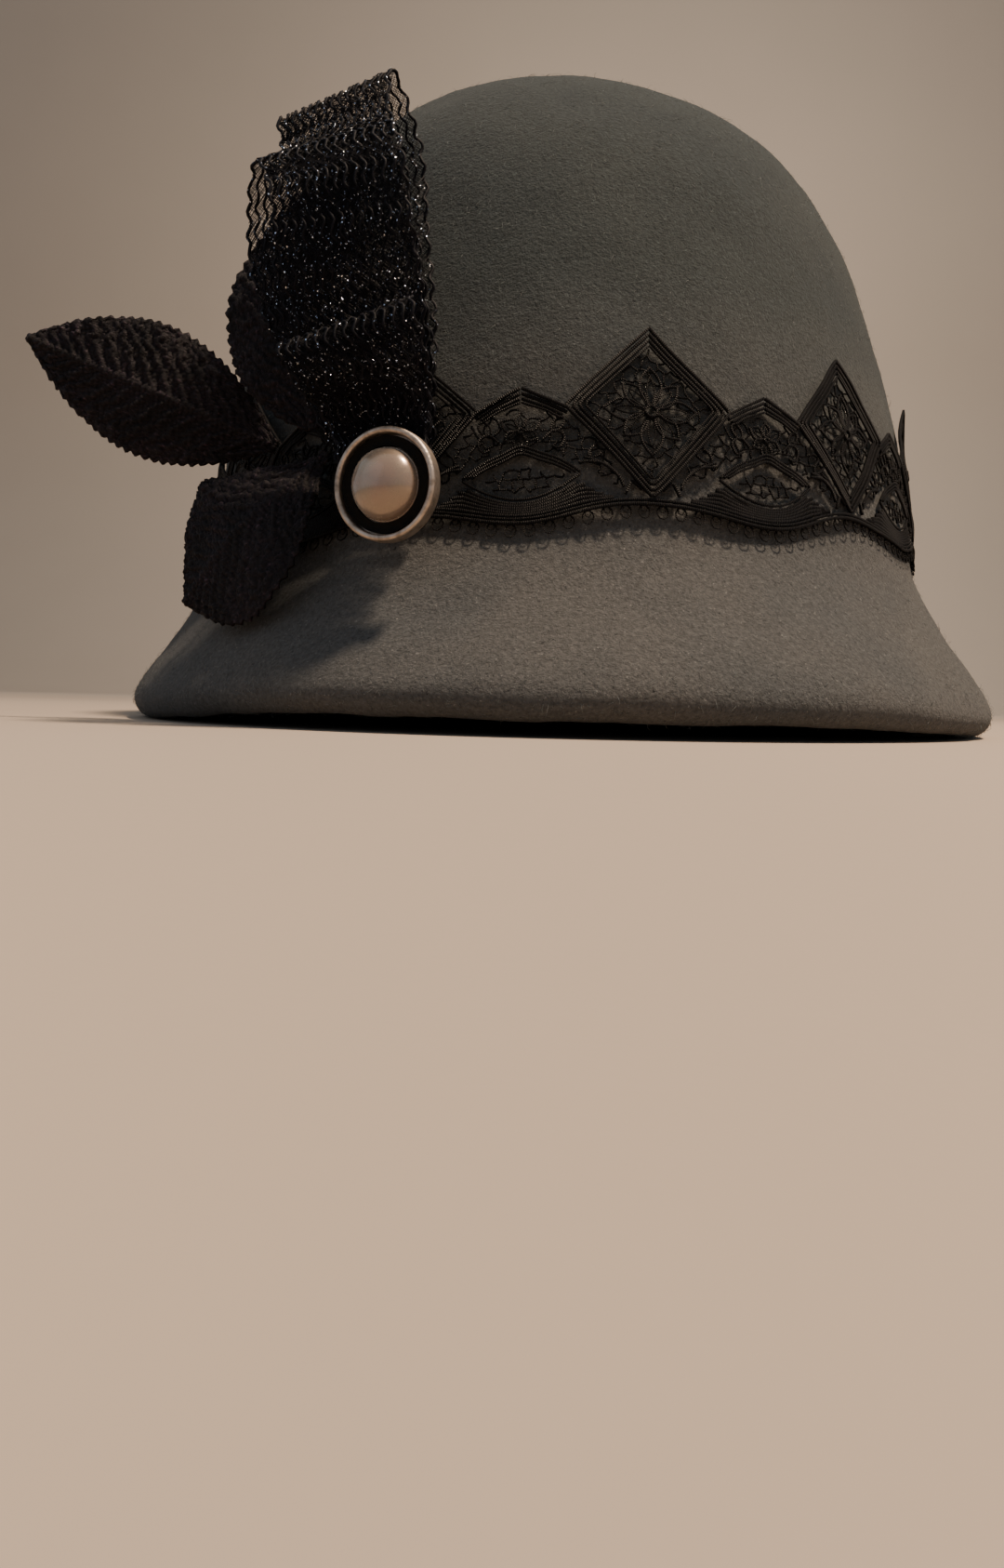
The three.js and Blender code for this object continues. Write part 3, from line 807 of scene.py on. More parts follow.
def irregular_net(drawing, inside, cell, seed):
    """Brides of a hand-like net: the edges of a warped honeycomb that pass a test."""
    draw = np.random.default_rng(seed)
    reach = 18
    starts, ends = [], []
    for row in range(-reach, reach):
        for column in range(-reach, reach):
            centre = np.array([column * cell * 0.866 * 2 + (row % 2) * cell * 0.866, row * cell * 1.5 + 16])
            angle = np.radians([90, 30, -30, -90])
            ring = centre + cell * np.stack([np.cos(angle), np.sin(angle)], -1)
            starts += [ring[0], ring[1], ring[2]]
            ends += [ring[1], ring[2], ring[3]]
    starts, ends = np.array(starts), np.array(ends)

    def warped(points):
        key = np.round(points * 50).astype(int)
        jump_x = np.sin(key[:, 0] * 12.9 + key[:, 1] * 78.2 + seed) * 43758.5
        jump_y = np.sin(key[:, 0] * 39.3 + key[:, 1] * 11.1 + seed) * 24634.6
        return points + 0.42 * cell * (np.stack([jump_x % 1, jump_y % 1], -1) - 0.5) * 2

    starts, ends = warped(starts), warped(ends)
    kept = inside(starts) & inside(ends)
    starts, ends = starts[kept], ends[kept]
    bow = draw.normal(0, 0.12, (len(starts), 1))
    left = np.stack([starts[:, 1] - ends[:, 1], ends[:, 0] - starts[:, 0]], -1)
    lines = np.stack([starts, (starts + ends) / 2 + left * bow, ends], 1)
    drawing.strokes.append((lines, BRIDE_HALF_WIDTH, BRIDE_HALF_HEIGHT, 3, False, -0.1))


def draw_flower(drawing, centre, radius, petals, turn=0.0):
    """A flower of pointed petals, each with rays of thread inside its outline, round a knotted middle."""
    centre = np.array(centre, float)
    for index in range(petals):
        angle = math.radians(turn + 360 * index / petals)
        way = np.array([math.cos(angle), math.sin(angle)])
        side = np.array([-way[1], way[0]])
        size = radius if index % 2 == 0 else radius * 0.84
        wide = math.pi * size / petals * 0.62
        for sign in (-1, 1):
            line = bowed(centre + way * size * 0.12, centre + way * size, wide * sign, 9)
            drawing.cord(line, 0.52, spacing=0.8, soft=0)
            ray = bowed(centre + way * size * 0.15, centre + way * size * 0.8, wide * 0.36 * sign, 7)
            drawing.cord(ray, 0.28, spacing=0.8, lift=0.05, soft=0, sides=3)
        tip = centre + way * size
        point = np.stack([tip - side * 0.3, tip + way * 0.3, tip + side * 0.3])
        drawing.cord(point, 0.4, spacing=0.4, soft=0)
    knot = oval(centre, radius * 0.13, radius * 0.13, 0, 8)
    drawing.cord(knot, 0.6, closed=True, spacing=0.5, lift=0.2, soft=0)


def draw_diamond(drawing):
    """The tall unit: a corded border, a flower and an irregular net with open cells."""
    for inset, width, lift in ((0.0, 0.75, 0.2), (0.75, 0.8, 0.0), (1.5, 0.75, -0.1), (2.2, 0.5, 0.1)):
        drawing.cord(diamond_line(inset), width, closed=True, spacing=1.0, lift=lift, soft=0)
    flower_centre = np.array((0, 16.4))
    draw_flower(drawing, flower_centre, 7.8, 8, 0)

    def open_ground(points):
        return inside_diamond(points, 1.8) & (np.linalg.norm(points - flower_centre, axis=-1) > 4.6)

    irregular_net(drawing, open_ground, 1.42, 3)


def draw_small_unit(drawing):
    """The low unit: a corded peak with curls, a lens under a corded lid, and fronds beside it."""
    centre = drawing.half
    peak, shoulder = 20.9, 16.2
    for drop, width, lift in ((0.0, 0.75, 0.2), (0.7, 0.8, 0.0), (1.4, 0.75, -0.05), (2.0, 0.5, 0.1)):
        arch = np.array([(-8.4 + drop, shoulder - drop * 0.6), (-4.2, 18.6 - drop), (0, peak - drop * 1.3)])
        drawing.mirrored(arch + (centre, 0), width, centre=centre, lift=lift, spacing=0.75)
    draw_flower(drawing, (centre, 13.2), 3.6, 6, 30)
    for reach in (0.0, 0.75, 1.5):
        corner = np.array((9.8 - reach, 5.0 + reach * 0.1))
        lid = bowed(corner * (-1, 1), corner, 4.6 - reach * 0.95, 17)
        peaked = lid + np.stack([0 * lid[:, 0], 1.1 * np.exp(-(lid[:, 0] / 1.8) ** 2)], -1)
        drawing.cord(peaked + (centre, 0), 0.6, lift=0.15, spacing=0.9)
    dip = bowed((-9.8, 5.0), (9.8, 5.0), -3.8, 15)
    drawing.cord(dip + (centre, 0), 0.6, lift=0.1, spacing=0.75)

    def in_lens(points):
        x = (points[..., 0] - centre) / 8.2
        return (np.abs(x) < 1) & (np.abs(points[..., 1] - 4.6) < 2.3 * (1 - x ** 2))

    irregular_net(drawing, in_lens, 1.15, 5)
    for side in (-1, 1):
        curl = np.array([(3.4, 11.2), (5.4, 13.2), (7.4, 11.8), (6.4, 9.4), (4.8, 10.4)]) * (side, 1)
        drawing.cord(curl + (centre, 0), 0.5, spacing=0.6, soft=2)
        loop = oval((centre + side * 6.0, 13.9), 0.9, 1.5, -35 * side, 10)
        drawing.cord(loop, 0.5, closed=True, spacing=0.6, soft=0)
        for reach in (0.0, 0.8):
            inner = (centre + side * 10.0, 7.8 - reach)
            outer = (centre + side * 16.8, 3.4 - reach)
            frond = bowed(inner, outer, (0.9 + reach) * side, 9)
            drawing.cord(frond, 0.6, spacing=0.75)
        leaf = oval((centre + side * 12.6, 9.2), 2.1, 0.95, 42 * side, 10)
        drawing.cord(leaf, 0.5, closed=True, spacing=0.6, soft=0)

    def beside_border(points):
        x = np.abs(points[..., 0] - centre)
        roof = np.where(x < 8.4, 18.0 - x * 0.35, 15.2 - (x - 8.4) * 1.12)
        floor = np.where(x < 9.8, 9.3 - (x / 9.8) ** 2 * 3.0, 6.0 - (x - 9.8) * 0.55)
        clear = np.linalg.norm(points - (centre, 13.2), axis=-1) > 3.0
        return (points[..., 1] < roof) & (points[..., 1] > floor) & clear & (x < 16)

    irregular_net(drawing, beside_border, 1.3, 11)


def draw_satin(drawing):
    """Satin band above the scalloped edge, as flat rows of thread side by side."""
    centre = drawing.half
    share = np.linspace(-1, 1, 25)
    for row in range(SATIN_ROWS):
        reach = 16.4 - row * 1.5
        x = share * reach
        foot = drawing.foot(centre + x) + 1.5
        dip = 5.0 - 3.9 * (1 - (x / 9.8) ** 2)
        roof = np.where(np.abs(x) < 9.8, dip - 0.3, 4.9 - (np.abs(x) - 9.8) * 0.6)
        height = foot + (roof - foot) * (row + 0.5) / (SATIN_ROWS + 0.5)
        keep = roof > foot + 0.2
        line = np.stack([centre + x, height], -1)[keep]
        drawing.cord(line, 1.0, raised=0.5, spacing=1.3, lift=-0.1 + 0.03 * row, soft=0)


def draw_edge(drawing):
    """Corded lower edge with its picot loops."""
    half = drawing.half
    x = np.linspace(-half, half, 61)
    for rise, width, lift in ((0.4, 0.8, 0.15), (1.15, 0.7, 0.0)):
        line = np.stack([x, drawing.foot(x) + rise], -1)
        drawing.cord(line, width, lift=lift, spacing=0.8, soft=0)
    for index in range(PICOTS):
        at = -half + 2 * half * (index + 0.5) / PICOTS
        foot = float(drawing.foot(at))
        drawing.cord(oval((at, foot - 0.95), 1.0, 1.3, 0, 8), 0.32, closed=True, sides=3, spacing=0.75,
                     lift=-0.1, soft=0)
        drawing.cord(oval((at, foot - 0.35), 0.6, 0.75, 0, 8), 0.26, closed=True, sides=3, spacing=0.8,
                     lift=0.0, soft=0)
    gap = np.array([(1.6, 2.4), (3.4, 4.2), (4.6, 1.4)])
    drawing.mirrored(gap, 0.7, spacing=0.7)


def lace_trim(settings):
    """The band of black guipure lace, one drawn repeat laid round the crown."""
    turn_at, reached, girth = even_turns()
    drawing = LaceDrawing(LACE_DRAWN_HALF)
    draw_diamond(drawing)
    draw_small_unit(drawing)
    draw_satin(drawing)
    draw_edge(drawing)
    start = np.interp(math.radians(LACE_PEAK_TURN), turn_at, reached)
    repeat = np.arange(LACE_REPEATS)[:, None, None]
    parts = Parts()
    for lines, half_width, half_height, sides, closed, lift in drawing.strokes:
        share = start + (repeat + lines[None, ..., 0] / (2 * drawing.half)) / LACE_REPEATS
        turn = np.interp(share % 1.0, reached, turn_at)
        height = LACE_DATUM + LACE_CLIMB * FOOT_HALF_WIDTH * np.sin(turn) + lines[None, ..., 1]
        wobble = 0.35 * np.sin(turn * 9.0 + 1.0) + 0.2 * np.sin(turn * 23.0)
        curl = 0.9 * np.clip((lines[None, ..., 1] - 22) / 9, 0, 1) ** 2 * (1 + np.sin(turn * 17))
        hang = 0.35 * np.clip(-lines[None, ..., 1] / 5, 0, 1)
        loose = 0.12 * (1 + np.sin(turn * 31.0 + height * 0.3))
        out = LACE_GAP + 0.42 + lift + curl + hang + loose
        place, outward = crown_wall(turn, height + wobble, out)
        count = place.shape[0] * place.shape[1]
        place = place.reshape(count, -1, 3) * MM
        outward = outward.reshape(count, -1, 3)
        parts.tubes(place, outward, half_width * MM, half_height * MM, sides, closed)
    piece = parts.to_object("lace_trim")
    piece.data.materials.append(thread_material(settings))
    return piece, girth


# Net ribbon loops

def ribbon_run(rows, samples=480):
    """Middle line, width line, way out and half width along a loop, evenly spaced by length."""
    share = np.linspace(0, 1, samples, endpoint=False)
    table = np.array(rows, float)
    knots = beside_crown(np.radians(table[:, 0]), table[:, 1], table[:, 2])
    middle = closed_spline(knots, share, even=True)
    width, rise, face = closed_spline(table[:, 3:6], share).T
    step = np.linalg.norm(np.roll(middle, -1, 0) - middle, axis=1)
    run = np.concatenate([[0], np.cumsum(step)])
    yaw, tilt = np.radians(face), np.radians(rise)
    across = np.stack([np.cos(yaw) * np.cos(tilt), -np.sin(yaw) * np.cos(tilt), np.sin(tilt)], -1)
    tangent = unit(np.roll(middle, -1, 0) - np.roll(middle, 1, 0))
    outward = unit(np.cross(across, tangent))
    columns = np.concatenate([middle, across, outward, width[:, None] / 2], 1)
    columns = np.concatenate([columns, columns[:1]])

    def read(length):
        at = np.asarray(length) % run[-1]
        values = np.stack([np.interp(at, run, columns[:, index]) for index in range(columns.shape[1])], -1)
        return values[..., 0:3], unit(values[..., 3:6]), unit(values[..., 6:9]), values[..., 9:10]

    return read, run[-1]


def net_loop(name, settings, seed):
    """One loop of net ribbon: wavy cords along it, and fine filaments crossing between them."""
    read, length = ribbon_run(LOOPS[name])
    parts = Parts()
    draw = np.random.default_rng(seed)
    cords = settings.cords
    waves = round(length / (settings.wave / MM))
    points = waves * 6
    run = np.linspace(0, length, points, endpoint=False)[None]
    place = np.linspace(-1, 1, cords)[:, None]
    middle, across, outward, half = read(np.broadcast_to(run, (cords, points)))
    phase = 2 * math.pi * waves * run / length + np.arange(cords)[:, None] * CORD_LAG
    sway = settings.sway / MM * np.sin(phase)
    sway = sway + draw.normal(0, 0.07, (cords, points))
    bulge = 0.35 * np.sin(phase * 0.5 + 1.3) + draw.normal(0, 0.05, (cords, points))
    lines = middle + across * (place[..., None] * half + sway[..., None]) + outward * bulge[..., None]
    cord = np.where(np.abs(place) > 0.99, 0.62, 0.5) * settings.cord_width / MM
    parts.tubes(lines * MM, outward, cord * MM, cord * MM * 0.8, 4, closed=True)
    for way in (-1, 1):
        count = int(length / (settings.filament_gap / MM))
        share = np.linspace(-1, 1, FILAMENT_POINTS)[None]
        begin = np.linspace(0, length, count, endpoint=False)[:, None]
        begin = begin + draw.normal(0, 0.12, (count, 1))
        middle, across, outward, half = read(begin + way * share * FILAMENT_REACH)
        float_out = 0.18 * np.sin(share * 21 + begin * 3)
        lines = middle + across * share[..., None] * half + outward * float_out[..., None]
        thin = settings.filament_width / 2
        parts.tubes(lines * MM, outward, thin, thin, 3)
    piece = parts.to_object(name + "_net")
    return piece, length


# Velvet leaves

def leaf_fullness(along, fullest):
    """Half width of a leaf along its length, as a share of its greatest."""
    bend = math.log(0.5) / math.log(fullest)
    return np.sin(math.pi * np.clip(along, 0, 1) ** bend) ** 0.8


def midrib_curve(stem, middle, tip, along):
    """Place and direction along the midrib, in millimetres."""
    knots = np.array([stem, middle, tip], float)
    rows = np.stack([2 * knots[0] - knots[1], *knots, 2 * knots[2] - knots[1]])
    place = np.clip(along, 0, 1) * 2
    index = np.minimum(np.floor(place).astype(int), 1)
    point, slope = spline_step(*(rows[index + shift] for shift in range(4)), (place - index)[:, None])
    return point, unit(slope)


def velvet_leaf(name, settings, material):
    """A pinked leaf with an embossed midrib and side veins, slightly cupped and curled."""
    stem, middle, tip, facing, half_width, fullest, cup = LEAVES[name]
    along = np.linspace(0, 1, LEAF_ROWS)
    spread = np.linspace(-1, 1, LEAF_COLUMNS)
    rib, tangent = midrib_curve(stem, middle, tip, along)
    length = np.linalg.norm(np.diff(rib, axis=0), axis=1).sum()
    across = unit(np.cross(unit(np.array(facing, float)), tangent))
    outward = unit(np.cross(tangent, across))
    half = np.maximum(half_width * leaf_fullness(along, fullest), 1.4 * (1 - along / 2))
    teeth = length / (settings.tooth_pitch / MM)
    saw = np.abs((along * teeth) % 1.0 - 0.5) * 2
    body = np.clip(half / half_width * 2.5, 0, 1)
    edge = 1 - saw * (settings.tooth_depth / MM) * body / np.maximum(half, 1)
    share = spread[None] * (1 - (1 - edge)[:, None] * np.abs(spread[None]) ** 6)
    offset = share * half[:, None]
    sag = -cup * share ** 2 * (half / half_width)[:, None]
    drift = 1.3 * np.sin(offset * 0.7 + along[:, None] * 9) + 0.9 * np.sin(offset * 1.9 - along[:, None] * 31)
    drift = drift + 0.6 * np.sin(offset * 3.1 + along[:, None] * 47 + 2.0)
    slant = along[:, None] * length - np.abs(offset) * 0.9 + drift * np.abs(share)
    vein = np.exp(-(((slant / (settings.vein_gap / MM)) % 1.0 - 0.5) / 0.16) ** 2)
    vein = vein * np.clip(np.abs(offset) / 1.5, 0, 1) * np.clip((1 - np.abs(share)) * 6, 0.25, 1)
    spine = np.exp(-(offset / 0.7) ** 2)
    crumple = 0.24 * np.sin(slant * 5.1 + offset * 1.3) * np.sin(offset * 4.3 + along[:, None] * 60)
    crinkle = 0.35 * np.sin(along * 23 + 1.7)[:, None] * np.abs(share) ** 2
    relief = settings.vein_rise / MM * (vein + 1.1 * spine) + crumple + crinkle
    place = rib[:, None] + across[:, None] * offset[..., None] + outward[:, None] * (sag + relief)[..., None]
    parts = Parts()
    index = np.arange(LEAF_ROWS * LEAF_COLUMNS).reshape(LEAF_ROWS, LEAF_COLUMNS)
    faces = np.stack([index[:-1, :-1], index[:-1, 1:], index[1:, 1:], index[1:, :-1]], -1).reshape(-1, 4)
    flat = np.stack([along[:, None] * length * MM + np.zeros_like(offset), offset * MM], -1).reshape(-1, 2)
    parts.add(place * MM, faces, flat[faces.reshape(-1)])
    piece = parts.to_object(name + "_velvet")
    apply_modifier(piece, "SOLIDIFY", "cloth", thickness=settings.thickness, offset=0)
    piece.data.materials.append(material)
    return piece, length, 2 * half_width


# Button

def spun(name, profile, place):
    """A body spun about the button's axis from its profile of radius and depth, in millimetres."""
    clear_selection()
    mesh = bpy.data.meshes.new(name)
    points = [(radius * MM, 0, depth * MM) for radius, depth in profile]
    mesh.from_pydata(points, [(index, index + 1) for index in range(len(points) - 1)], [])
    piece = bpy.data.objects.new(name, mesh)
    bpy.context.collection.objects.link(piece)
    make_active(piece)
    bpy.ops.object.mode_set(mode="EDIT")
    bpy.ops.mesh.select_all(action="SELECT")
    bpy.ops.mesh.spin(steps=BUTTON_SPINS, angle=2 * math.pi, center=(0, 0, 0), axis=(0, 0, 1))
    bpy.ops.mesh.select_all(action="SELECT")
    bpy.ops.mesh.remove_doubles(threshold=0.000005)
    bpy.ops.mesh.normals_make_consistent(inside=False)
    bpy.ops.object.mode_set(mode="OBJECT")
    piece.data.transform(place)
    piece.data.update()
    return piece


def button_place():
    """The button's frame: its back on the origin and its face along +Z, moved to where it sits."""
    turn = math.radians(BUTTON_TURN)
    at = Vector(beside_crown(turn, BUTTON_OUT, BUTTON_HEIGHT).tolist()) * MM
    out = Vector(foot_outward(np.array(turn)).tolist())
    return Matrix.Translation(at) @ out.to_track_quat("Z", "Y").to_matrix().to_4x4()


def arc(centre, radius, start, end, points):
    """Points on an arc of a profile, between angles in degrees."""
    angles = np.radians(np.linspace(start, end, points))
    return [(centre[0] + radius * math.cos(a), centre[1] + radius * math.sin(a)) for a in angles]


def rim_profile():
    """The spun metal cup of the button with its rolled rim."""
    outer = BUTTON_RADIUS
    return [
        (0, 0),
        (outer - 1.6, 0),
        *arc((outer - 1.3, 1.3), 1.3, -90, 0, 6),
        (outer, 2.5),
        *arc((outer - 0.55, 3.05), 0.55, 0, 180, 10),
        (outer - 1.1, 1.6),
        (0, 1.6),
    ]


def inlay_profile():
    """The dark bed, dished between its two edges."""
    inner, outer, low = PEARL_RADIUS + 0.3, BUTTON_RADIUS - 1.4, 1.9
    top = [(outer - (outer - inner) * share, 2.8 - 0.35 * math.sin(math.pi * share)) for share in
           np.linspace(0, 1, 9)]
    return [(inner, low), (outer, low), *top, (inner, low)]


def pearl_profile():
    """The pearl's dome over its girdle."""
    low = PEARL_LOW
    dome = arc((0, 0), 1, 0, 90, 18)
    top = [(PEARL_RADIUS * x, low + 0.7 + (PEARL_RISE - 0.7) * y) for x, y in dome]
    foot = [(0, low), (PEARL_RADIUS - 0.5, low), (PEARL_RADIUS - 0.1, low + 0.3)]
    return [*foot, *top[:-1], (0, low + PEARL_RISE)]


def ring_profile(radius, depth, thickness):
    """A fine wire ring."""
    return arc((radius, depth), thickness / 2, 0, 360, 11)


# Stage

def backdrop(settings):
    """Plain pale floor that curves up into a plain wall."""
    clear_selection()
    reach, back, bend, tall = 4.0, 1.6, 0.9, 4.0
    bpy.ops.mesh.primitive_plane_add(size=1, location=(0, 0, 0))
    piece = bpy.context.object
    piece.name = "backdrop"
    line = [(-reach, 0.0), (back, 0.0)]
    angles = np.linspace(0, math.pi / 2, 17)[1:]
    line += [(back + bend * math.sin(a), bend - bend * math.cos(a)) for a in angles]
    line += [(back + bend, tall)]
    mesh = bmesh.new()
    rows = [[mesh.verts.new((x, y, z)) for x in (-reach, reach)] for y, z in line]
    for low, high in zip(rows, rows[1:]):
        mesh.faces.new((low[0], low[1], high[1], high[0]))
    mesh.to_mesh(piece.data)
    mesh.free()
    piece.data.polygons.foreach_set("use_smooth", np.ones(len(piece.data.polygons), bool))
    piece.data.materials.append(paper_material(settings))


def area_light(name, place, target, size, power, colour):
    """A soft square light that looks at a point."""
    light = bpy.data.lights.new(name, "AREA")
    light.size = size
    light.energy = power
    light.color = colour
    lamp = bpy.data.objects.new(name, light)
    bpy.context.collection.objects.link(lamp)
    lamp.location = place
    lamp.rotation_euler = (Vector(target) - Vector(place)).to_track_quat("-Z", "Y").to_euler()


def studio_light(settings):
    """Warm key from high on the right, cool fill from the left, a light on the wall, and a surround."""
    area_light("key", (0.42, -0.24, 1.08), (0, 0, 0.05), 0.12, settings.key_power, (1.0, 0.77, 0.56))
    area_light("fill", (-0.9, -0.6, 0.5), (0, 0, 0.07), 0.9, settings.fill_power, (0.72, 0.82, 1.0))
    area_light("wall_wash", (0.3, 1.0, 1.3), (0.1, 2.5, 0.7), 0.8, settings.wall_power, (1.0, 0.88, 0.75))
    world = bpy.data.worlds.new("surround")
    bpy.context.scene.world = world
    world.use_nodes = True
    sky = world.node_tree.nodes["Background"]
    sky.inputs["Color"].default_value = (0.84, 0.91, 1.0, 1)
    sky.inputs["Strength"].default_value = settings.surround


def photo_camera(settings):
    """The camera before the front of the hat, just above the floor."""
    camera = bpy.data.cameras.new("camera")
    camera.lens = settings.lens
    camera.sensor_width = 36
    camera.clip_start = 0.001
    eye = bpy.data.objects.new("camera", camera)
    bpy.context.collection.objects.link(eye)
    eye.location = (0, -settings.distance, settings.eye_height)
    pitch = Matrix.Rotation(math.pi / 2 + settings.pitch, 4, "X")
    roll = Matrix.Rotation(settings.roll, 4, "Z")
    yaw = Matrix.Rotation(settings.yaw, 4, "Z")
    eye.rotation_euler = (yaw @ pitch @ roll).to_euler()
    bpy.context.scene.camera = eye


# Settings that a user would change

class CLOCHE_felt_settings(bpy.types.PropertyGroup):
    """Felt and its fuzz."""

    colour: FloatVectorProperty(
        name="Felt grey", description="Cool grey of the wool felt",
        subtype="COLOR", size=3, min=0, max=1, default=(0.047, 0.057, 0.056))
    warm_colour: FloatVectorProperty(
        name="Felt warm grey", description="Warmer grey of its paler blotches",
        subtype="COLOR", size=3, min=0, max=1, default=(0.055, 0.063, 0.059))
    fibres: IntProperty(
        name="Fibres", description="Number of loose fibres on the felt",
        min=0, max=14000, default=12500)
    fibre_length: FloatProperty(
        name="Fibre length", description="Longest loose fibre",
        unit="LENGTH", precision=5, min=0.0002, default=0.0022)
    fibre_radius: FloatProperty(
        name="Fibre radius", description="Radius of a loose fibre",
        unit="LENGTH", precision=6, min=0.00001, default=0.000032)


class CLOCHE_lace_settings(bpy.types.PropertyGroup):
    """Lace band."""

    colour: FloatVectorProperty(
        name="Thread", description="Colour of the lace thread",
        subtype="COLOR", size=3, min=0, max=1, default=(0.004, 0.0036, 0.0042))
    stitch: FloatProperty(
        name="Stitch", description="Distance between the stitches wound across a cord",
        unit="LENGTH", precision=5, min=0.0001, default=0.00038)


class CLOCHE_net_settings(bpy.types.PropertyGroup):
    """Net ribbon loops."""

    colour: FloatVectorProperty(
        name="Net", description="Colour of the net yarn",
        subtype="COLOR", size=3, min=0, max=1, default=(0.0022, 0.0024, 0.0045))
    cords: IntProperty(
        name="Cords", description="Number of wavy cords across the ribbon",
        min=4, max=30, default=15)
    cord_width: FloatProperty(
        name="Cord width", description="Thickness of a wavy cord",
        unit="LENGTH", precision=5, min=0.0001, default=0.00055)
    wave: FloatProperty(
        name="Wave", description="Length of one wave of a cord",
        unit="LENGTH", precision=5, min=0.001, default=0.0037)
    sway: FloatProperty(
        name="Sway", description="How far a wave swings to each side",
        unit="LENGTH", precision=5, min=0, default=0.00042)
    filament_gap: FloatProperty(
        name="Filament gap", description="Distance along the ribbon between filaments",
        unit="LENGTH", precision=5, min=0.0003, default=0.00043)
    filament_width: FloatProperty(
        name="Filament width", description="Thickness of a filament",
        unit="LENGTH", precision=5, min=0.00005, default=0.00013)
    flake: FloatProperty(
        name="Glitter flake", description="Size of one glinting fleck",
        unit="LENGTH", precision=5, min=0.0001, default=0.00022)


class CLOCHE_leaf_settings(bpy.types.PropertyGroup):
    """Velvet leaves."""

    colour: FloatVectorProperty(
        name="Velvet", description="Colour of the pressed velvet",
        subtype="COLOR", size=3, min=0, max=1, default=(0.0085, 0.0058, 0.0085))
    thickness: FloatProperty(
        name="Thickness", description="Thickness of a leaf",
        unit="LENGTH", precision=5, min=0.0002, default=0.0006)
    tooth_pitch: FloatProperty(
        name="Tooth pitch", description="Distance between the teeth of the pinked edge",
        unit="LENGTH", precision=5, min=0.0005, default=0.0019)
    tooth_depth: FloatProperty(
        name="Tooth depth", description="Depth of a tooth",
        unit="LENGTH", precision=5, min=0, default=0.0008)
    vein_gap: FloatProperty(
        name="Vein gap", description="Distance between side veins along the midrib",
        unit="LENGTH", precision=5, min=0.001, default=0.0034)
    vein_rise: FloatProperty(
        name="Vein rise", description="Height of the embossed veins",
        unit="LENGTH", precision=5, min=0, default=0.00048)


class CLOCHE_button_settings(bpy.types.PropertyGroup):
    """Pearl button."""

    metal_colour: FloatVectorProperty(
        name="Brass", description="Colour of the pale brass",
        subtype="COLOR", size=3, min=0, max=1, default=(0.44, 0.37, 0.31))
    pearl_colour: FloatVectorProperty(
        name="Pearl", description="Colour of the pearl",
        subtype="COLOR", size=3, min=0, max=1, default=(0.27, 0.205, 0.155))


class CLOCHE_stage_settings(bpy.types.PropertyGroup):
    """Floor, light and camera."""

    floor_colour: FloatVectorProperty(
        name="Floor", description="Colour of the floor and wall",
        subtype="COLOR", size=3, min=0, max=1, default=(0.37, 0.302, 0.24))
    key_power: FloatProperty(
        name="Key", description="Power of the key light in watts",
        min=0, default=28)
    fill_power: FloatProperty(
        name="Fill", description="Power of the fill light in watts",
        min=0, default=0.6)
    wall_power: FloatProperty(
        name="Wall", description="Power in watts of the light on the wall behind",
        min=0, default=24)
    surround: FloatProperty(
        name="Surround", description="Strength of the light from all round",
        min=0, default=0.45)
    distance: FloatProperty(
        name="Camera distance", description="Distance of the camera from the hat's axis",
        unit="LENGTH", min=0.2, default=0.290)
    lens: FloatProperty(
        name="Lens", description="Focal length in millimetres",
        min=10, max=100, default=23.95)
    eye_height: FloatProperty(
        name="Camera height", description="Height of the camera above the floor",
        unit="LENGTH", precision=4, min=0.002, default=0.006)
    pitch: FloatProperty(
        name="Pitch", description="Tilt of the camera, down where it is negative",
        subtype="ANGLE", default=math.radians(-4.6))
    yaw: FloatProperty(
        name="Yaw", description="Turn of the camera to its left",
        subtype="ANGLE", default=math.radians(2.8))
    roll: FloatProperty(
        name="Roll", description="Roll of the camera",
        subtype="ANGLE", default=math.radians(1.4))


# Operators, one for each group of pieces

class CLOCHE_OT_felt(bpy.types.Operator):
    """Make the felt shell and its fuzz."""

    bl_idname = "cloche.felt"
    bl_label = "Felt shell"

    def execute(self, context):
        settings = context.scene.cloche_felt
        shell = felt_shell(settings)
        fuzz = felt_fuzz(shell, settings)
        lay_out(shell, "felt_body")
        lay_out(fuzz)
        return {"FINISHED"}


class CLOCHE_OT_lace(bpy.types.Operator):
    """Lay the lace band round the crown."""

    bl_idname = "cloche.lace"
    bl_label = "Lace band"

    def execute(self, context):
        piece, girth = lace_trim(context.scene.cloche_lace)
        lay_out(piece, "lace_band")
        return {"FINISHED"}


class CLOCHE_OT_net(bpy.types.Operator):
    """Fold the three loops of net ribbon."""

    bl_idname = "cloche.net"
    bl_label = "Net loops"

    def execute(self, context):
        settings = context.scene.cloche_net
        material = net_material(settings)
        for seed, name in enumerate(LOOPS):
            piece, length = net_loop(name, settings, 20 + seed)
            piece.data.materials.append(material)
            lay_out(piece, name)
        return {"FINISHED"}


class CLOCHE_OT_leaves(bpy.types.Operator):
    """Press and pink the velvet leaves."""

    bl_idname = "cloche.leaves"
    bl_label = "Velvet leaves"

    def execute(self, context):
        settings = context.scene.cloche_leaves
        material = velvet_material(settings)
        for name in LEAVES:
            piece, length, width = velvet_leaf(name, settings, material)
            lay_out(piece, name)
        return {"FINISHED"}


